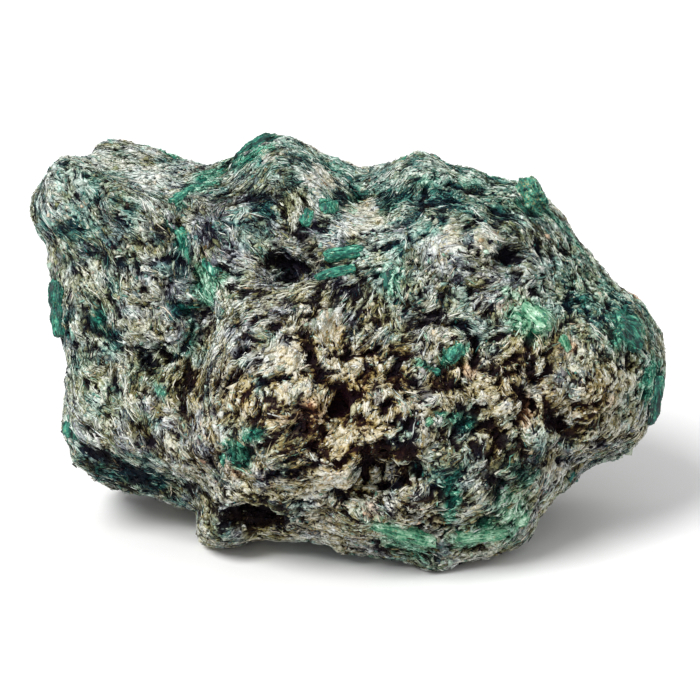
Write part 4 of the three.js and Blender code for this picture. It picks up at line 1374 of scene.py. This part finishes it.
# %% Long fibres
FIBRES = 9000
FIBRE_FACES = np.array([
    [0, 1, 2], [0, 2, 3], [0, 3, 1], [1, 4, 5], [1, 5, 2], [2, 5, 6], [2, 6, 3], [3, 6, 4], [3, 4, 1],
    [7, 5, 4], [7, 6, 5], [7, 4, 6]])
FEWER_IN_COARSE = 1.3
SWING = 0.16
LOG_REACH = (-0.45, 0.4)
REACHES = (0.3, 1.4)
FIBRE_WIDTHS = (0.035, 0.085)
STATIONS = (-1.0, -0.34, 0.34, 1.0)
CURL = 0.12
CURL_TURN = 2.2
HOVER = 0.05
HOVER_MORE = 0.05
ENDS_HIGHER = 0.06
RIDGE = 0.8
FIBRE_LIGHTER = 0.08

body_tree = KDTree(len(broken))
for index, point in enumerate(broken.tolist()):
    body_tree.insert(point, index)
body_tree.balance()


def dropped(points):
    """The nearest body point's number and the points moved down to the body's surface there."""
    nearest = np.array([body_tree.find(point)[1] for point in points.tolist()])
    above = ((points - broken[nearest]) * facing[nearest]).sum(1, keepdims=True)
    return nearest, points - above * facing[nearest]


fibre_chance = chance * (FEWER_IN_COARSE - about["coarse"][triangles].mean(1))
place, out, there_masks, there = scattered(FIBRES, fibre_chance)
swing = SWING * rng.normal(0, 1, FIBRES)
heading, _ = turned(there["lie"], np.cross(out, there["lie"]), swing)
side = np.cross(out, heading)
reach = np.clip(rng.lognormal(*LOG_REACH, FIBRES), *REACHES)
width = rng.uniform(*FIBRE_WIDTHS, FIBRES)[:, None]
stations = []
for step in STATIONS:
    curl = CURL * math.cos(CURL_TURN * step) * rng.normal(0, 1, FIBRES)
    nearest, low = dropped(place + heading * (step * reach)[:, None] + side * (curl * reach)[:, None])
    above = HOVER + HOVER_MORE * rng.random(FIBRES) + ENDS_HIGHER * abs(step) * rng.random(FIBRES)
    stations.append(low + facing[nearest] * above[:, None])
rings = []
for station in stations[1:3]:
    rings += [station + side * width, station - side * width, station + out * width * RIDGE]
shape = np.stack([stations[0], *rings, stations[3]], 1)
values = flake_values(there_masks, there, FIBRES, 1.0)
values["tone"] = np.clip(values["tone"] + FIBRE_LIGHTER * (1 - there["gap"]), 0, 1)
for number, part in enumerate((slice(0, FIBRES // 2), slice(FIBRES // 2, FIBRES)), 1):
    part_values = {key: value[part] for key, value in values.items()}
    joined_piece(f"mica_fibres_{number}", shape[part], FIBRE_FACES, part_values, flake_finish)
print(FIBRES, f"fibres are laid, up to {2 * reach.max():.1f} mm long")

# %% [markdown]
# Emerald is clear green beryl, but in schist it is clouded by cracks and grown through with mica, so it is
# painted as an opaque stone. Cloudy bands run along the crystal, its edges are lighter, and specks show
# the colour of mica. The three slots differ in their ramp and in how hazy they are.

# %% Crystal finish
MICA_SPECKS = stops(0.0, "000000", 0.72, "000000", 0.84, "ffffff")
BANDING = 1.5
CLOUDING = 0.9
SPECKLING = 0.7
EDGE_LIGHTER = 0.25
SPECKS_BY_BAND = 0.2
SPECKS_BY_CLOUD = 0.5
MICA_TONE = 0.9
GLASSY = 0.3
SPECKS_ROUGHER = 0.5
SPECKS_RAISED = 0.6


def emerald_finish(name, ramp_stops, haze):
    """Beryl with cloudy bands along the crystal, and specks of mica."""
    finish = Finish(name, specular_ior_level=0.3, ior=1.58)
    bands = finish.combed_noise(scale=3.2, detail=4, distortion=0.5)
    cloud = finish.noise(per_mm=0.9)
    specks = finish.noise(per_mm=4.0, detail=4)
    cloudy = finish.mask("cloudy")
    tone = haze + BANDING * (bands - 0.5) + CLOUDING * (cloud - 0.5) + SPECKLING * (specks - 0.5)
    green = finish.shade(tone + EDGE_LIGHTER * finish.mask("edge") + cloudy, ramp_stops)
    mica = finish.shade(MICA_TONE * bands, OLIVE_RAMP)
    overgrown = finish.shade(specks + SPECKS_BY_BAND * bands + SPECKS_BY_CLOUD * cloudy, MICA_SPECKS)
    finish.feed("Base Color", finish.mix(overgrown, green, mica))
    finish.feed("Roughness", GLASSY + SPECKS_ROUGHER * specks)
    finish.bump(bands + SPECKS_RAISED * specks, strength=0.8, distance=0.00014)
    return finish


emerald_finishes = {
    "emerald_deep": emerald_finish("emerald_deep", DEEP_RAMP, haze=0.3),
    "emerald_green": emerald_finish("emerald_green", DEEP_RAMP, haze=0.46),
    "emerald_pale": emerald_finish("emerald_pale", MINT_RAMP, haze=0.34),
}
slot_of = {entry["node"]: entry["material_slot"] for entry in frame["record"]["subparts"]}
for slot in emerald_finishes:
    print(slot, "is the finish of", list(slot_of.values()).count(slot), "crystals")

# %% [markdown]
# An emerald in schist is seldom a clean prism. Its sides are striped along its length, its ends are broken
# and worn, and flakes of mica cut into it. Each packed crystal keeps its place and form, but its faces are
# divided, grooved along the axis and chipped. The stripes follow the crystal's own axis, so that axis is
# found first, as the direction in which its points spread the most.

# %% Dress the crystals
CRYSTAL_GRAIN = 0.24
SQUEEZED = (0.18, 1.0, 1.0)
LENGTHWISE = (1, 0, 0)
CROSSWISE = (0, 1, 1)
APART = {"stripes": 7.3, "ends": 3.1, "girth": 5.7}
RAGGED_ENDS = 0.22
END_COLUMNS = (0.45, 90)
UNEVEN_GIRTH = [(0.9, 0.12, 91)]
TAPER = 0.25
TAPER_STEEP = 3
GROOVES = 0.08
STRIPES = [(0.34, 1.0, 51), (0.17, 0.6, 52)]
STRIPE_RANGE = 1.6
EDGE_RISE = (0.2, 0.9)
CHIPS = {"spacing": 0.8, "stretch": 2.0}
CHIP_DEPTH = 0.2
CHIP_LEVEL = 0.6
CHIP_SEED = 80
CLOUDY = {"end_emerald": -0.1, "tip_emerald": 0.22, "slope_emerald": 0.12, "blade_emerald": 0.1,
          "step_emerald": -0.06, "bright_emerald": 0.06, "lobe_emerald_upper": 0.08,
          "lobe_emerald_lower": 0.14}
SPLINTERS_PER_MM2 = 7
MINT_OF_PALE = 1.0
MINT_OF_OTHERS = 0.12


def dressed_crystal(name, node, seed):
    """A finer copy of a packed crystal, striped, chipped and ragged at its ends."""
    points, faces, _ = remeshed(node.data, CRYSTAL_GRAIN)
    middle = points.mean(0)
    _, _, axes = np.linalg.svd(points - middle, full_matrices=False)
    local = (points - middle) @ axes.T
    drawn = local * SQUEEZED + seed * APART["stripes"]
    columns = 0.5 + 0.5 * swells(drawn * CROSSWISE + seed * APART["ends"], *END_COLUMNS)
    local[:, 0] *= 1 - RAGGED_ENDS * columns
    girth = 1 + layered(local * LENGTHWISE + seed * APART["girth"], UNEVEN_GIRTH)
    girth -= TAPER * np.abs(local[:, 0] / np.abs(local[:, 0]).max()) ** TAPER_STEEP
    local[:, 1:] *= girth[:, None]
    points = local @ axes + middle
    normals = normals_at(points, faces)
    grooves = layered(drawn, STRIPES)
    _, _, level = shards(points, np.tile(axes[0], (len(points), 1)), **CHIPS, seed=CHIP_SEED + seed)
    points = points + normals * (GROOVES * grooves + CHIP_DEPTH * (level - CHIP_LEVEL))[:, None]
    slot = slot_of[name]
    values = {
        "edge": ramp(*EDGE_RISE, grooves / STRIPE_RANGE + 0.5),
        "cloudy": np.full(len(points), CLOUDY.get(name, 0)),
    }
    mesh = mesh_from(name, points, faces, values, emerald_finishes[slot])
    store_comb(mesh, "POINT", drawn)
    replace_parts(piece_from(name + "_dressed", mesh), name)
    return points, faces, normals_at(points, faces), axes[0]


rows = []
crystal_faces = 0
for seed, (name, node) in enumerate(sorted(crystals.items())):
    points, faces, normals, axis = dressed_crystal(name, node, seed)
    crystal_faces += len(faces)
    face_areas = areas_of(points, faces)
    wanted = int(SPLINTERS_PER_MM2 * face_areas.sum())
    picked = rng.choice(len(faces), wanted, p=face_areas / face_areas.sum())
    place = points[faces[picked]].mean(1)
    out = unit(normals[faces[picked]].mean(1))
    along = unit(axis - (axis * out).sum(1, keepdims=True) * out)
    mint = MINT_OF_PALE if slot_of[name] == "emerald_pale" else MINT_OF_OTHERS
    rows.append((place, out, along, np.full(wanted, mint)))
print("the crystals have", crystal_faces, "triangles in all")

# %% [markdown]
# Small splinters of beryl and mica stick to the crystals and break up their straight sides. They lie along
# each crystal's axis. Most are green, and the rest are ordinary mica that has grown over the crystal in
# clumps.

# %% Splinters on the crystals
LOG_SPLINTER = (-0.8, 0.4)
SPLINTER_LENGTHS = (0.2, 1.1)
SPLINTER_WIDTHS = (0.14, 0.4)
SPLINTER_THICK = 0.5
SPLINTER_TONE = 0.42
SPLINTER_TONE_SPREAD = 0.16
SPLINTER_CLOUDS = [(0.8, 0.24, 95)]
CLUMPS = [(1.0, 0.9, 96)]
CLUMP_EDGE = 0.35
CLUMP_LEVEL = -0.25
LEAST_GREEN = 0.75
MINT_SPREAD = 0.12
SPLINTER_SHINE = 0.5
SPLINTER_TURNED = 0.14
SPLINTER_LIFT = 0.14

place, out, along, mint = (np.concatenate(column) for column in zip(*rows))
count = len(place)
length = np.clip(rng.lognormal(*LOG_SPLINTER, count), *SPLINTER_LENGTHS)
width = length * rng.uniform(*SPLINTER_WIDTHS, count)
size = np.stack([length, width, SPLINTER_THICK * width], 1)
tone = SPLINTER_TONE + SPLINTER_TONE_SPREAD * rng.normal(0, 1, count) + layered(place, SPLINTER_CLOUDS)
values = {"tone": np.clip(tone, 0, 1), "tint": rng.random(count), "cool": rng.random(count)}
beryl = CLUMP_EDGE * rng.random(count) + layered(place, CLUMPS) > CLUMP_LEVEL
values["green"] = beryl * rng.uniform(LEAST_GREEN, 1, count)
values["mint"] = np.clip(mint + rng.normal(0, MINT_SPREAD, count), 0, 1)
values["dull"] = rng.random(count)
values["shine"] = SPLINTER_SHINE * rng.random(count)
values["warm"] = np.zeros(count)
values["rust"] = np.zeros(count)
shape = splinters(place, along, out, size, SPLINTER_TURNED, SPLINTER_LIFT)
joined_piece("emerald_splinters", shape, SPLINTER_FACES, values, flake_finish)
print(count, f"splinters lie on the crystals, {beryl.mean():.0%} of them beryl")

# %% [markdown]
# The pale spots are lumps of feldspar and quartz: dull, cream and blocky. Each grain is a ball of twenty
# faces whose corners are pulled in and out, squashed against the rock and mostly sunk in it.

# %% Feldspar grains
GRAINS = 1700
LOG_GRAIN = (-1.3, 0.3)
GRAIN_SIZES = (0.15, 0.42)
GRAIN_UNEVEN = (0.6, 1.3)
GRAIN_SQUASHED = (1.5, 0.85, 0.32)
CORNERS_PULLED = (0.5, 1.4)
GRAIN_SUNK = 0.08
GRAIN_TONE_MIDDLE = 0.72
GRAIN_TONE_SPREAD = 0.13
GRAIN_TINT = (0.2, 1)
GRAIN_GREEN = 0.4
GRAIN_SHINE = 0.3
CLEAR_OF_FLOOR = 1.5

ball = bmesh.new()
bmesh.ops.create_icosphere(ball, subdivisions=1, radius=1)
ball_points = np.array([vert.co[:] for vert in ball.verts])
ball_faces = np.array([[vert.index for vert in face.verts] for face in ball.faces])
ball.free()

pale_chance = areas * about["pale"][triangles].mean(1) ** 2 * (1 - about["gap"][triangles].mean(1))
pale_chance *= broken[triangles, 2].mean(1) > CLEAR_OF_FLOOR
place, out, there_masks, there = scattered(GRAINS, pale_chance)
size = np.clip(rng.lognormal(*LOG_GRAIN, (GRAINS, 1)), *GRAIN_SIZES)
size = size * rng.uniform(*GRAIN_UNEVEN, (GRAINS, 3)) * GRAIN_SQUASHED
lumps = ball_points * size[:, None, :] * rng.uniform(*CORNERS_PULLED, (GRAINS, len(ball_points), 1))
frames = np.stack([there["lie"], np.cross(out, there["lie"]), out], 1)
shape = (place - GRAIN_SUNK * out)[:, None] + lumps @ frames
values = flake_values(there_masks, there, GRAINS, 1.0)
values["tone"] = np.clip(GRAIN_TONE_MIDDLE + GRAIN_TONE_SPREAD * rng.normal(0, 1, GRAINS), 0, 1)
values["tint"] = rng.uniform(*GRAIN_TINT, GRAINS)
values["green"] *= GRAIN_GREEN
values["shine"] *= GRAIN_SHINE
joined_piece("feldspar_grains", shape, ball_faces, values, flake_finish)
print(GRAINS, "pale grains are set")

# %% [markdown]
# Soft studio light: a wide lamp above and to the left, as in the picture, and a bright even sky that fills
# the shadows. The floor is plain and pale. The hollows of the stone go dark partly because the sky hardly
# reaches into them, and partly by the shade painted into their colour.

# %% Light and floor
SKY = 0.75
KEY = 3.2
KEY_SPREAD = math.radians(30)
KEY_TURNS = [math.radians(turn) for turn in (34, -22, -14)]
FLOOR_GREY = 0.86
FLOOR_HALF = 1.2
FLOOR_CORNERS = [(-1, -1), (1, -1), (1, 1), (-1, 1)]

world = bpy.data.worlds.new("studio")
world.use_nodes = True
sky = world.node_tree.nodes["Background"]
sky.inputs["Color"].default_value = (1, 1, 1, 1)
sky.inputs["Strength"].default_value = SKY
bpy.context.scene.world = world

key = placed("key_light", bpy.data.lights.new("key_light", "SUN"))
key.data.energy = KEY
key.data.angle = KEY_SPREAD
key.rotation_euler = KEY_TURNS

floor_finish = Finish("floor", base_color=(FLOOR_GREY, FLOOR_GREY, FLOOR_GREY, 1), roughness=0.9)
floor_mesh = bpy.data.meshes.new("floor")
corners = [(x * FLOOR_HALF, y * FLOOR_HALF, 0) for x, y in FLOOR_CORNERS]
floor_mesh.from_pydata(corners, [], [(0, 1, 2, 3)])
floor_mesh.materials.append(floor_finish.material)
placed("floor", floor_mesh)
bpy.context.scene.view_settings.view_transform = "Standard"
print("the floor is", 2 * FLOOR_HALF, "m wide, and the sky has a strength of", SKY)

# %% [markdown]
# At the end the faces of everything that shows are counted. The dressed stone may pass the packed box a
# little, because flakes stand off the surface, but a stone that had grown would no longer fit its place.

# %% Face count, and the end
total = sum(len(piece.data.polygons) for piece in bpy.context.scene.objects
            if piece.type == "MESH" and not piece.hide_render)
print("everything that shows has", total, "faces")
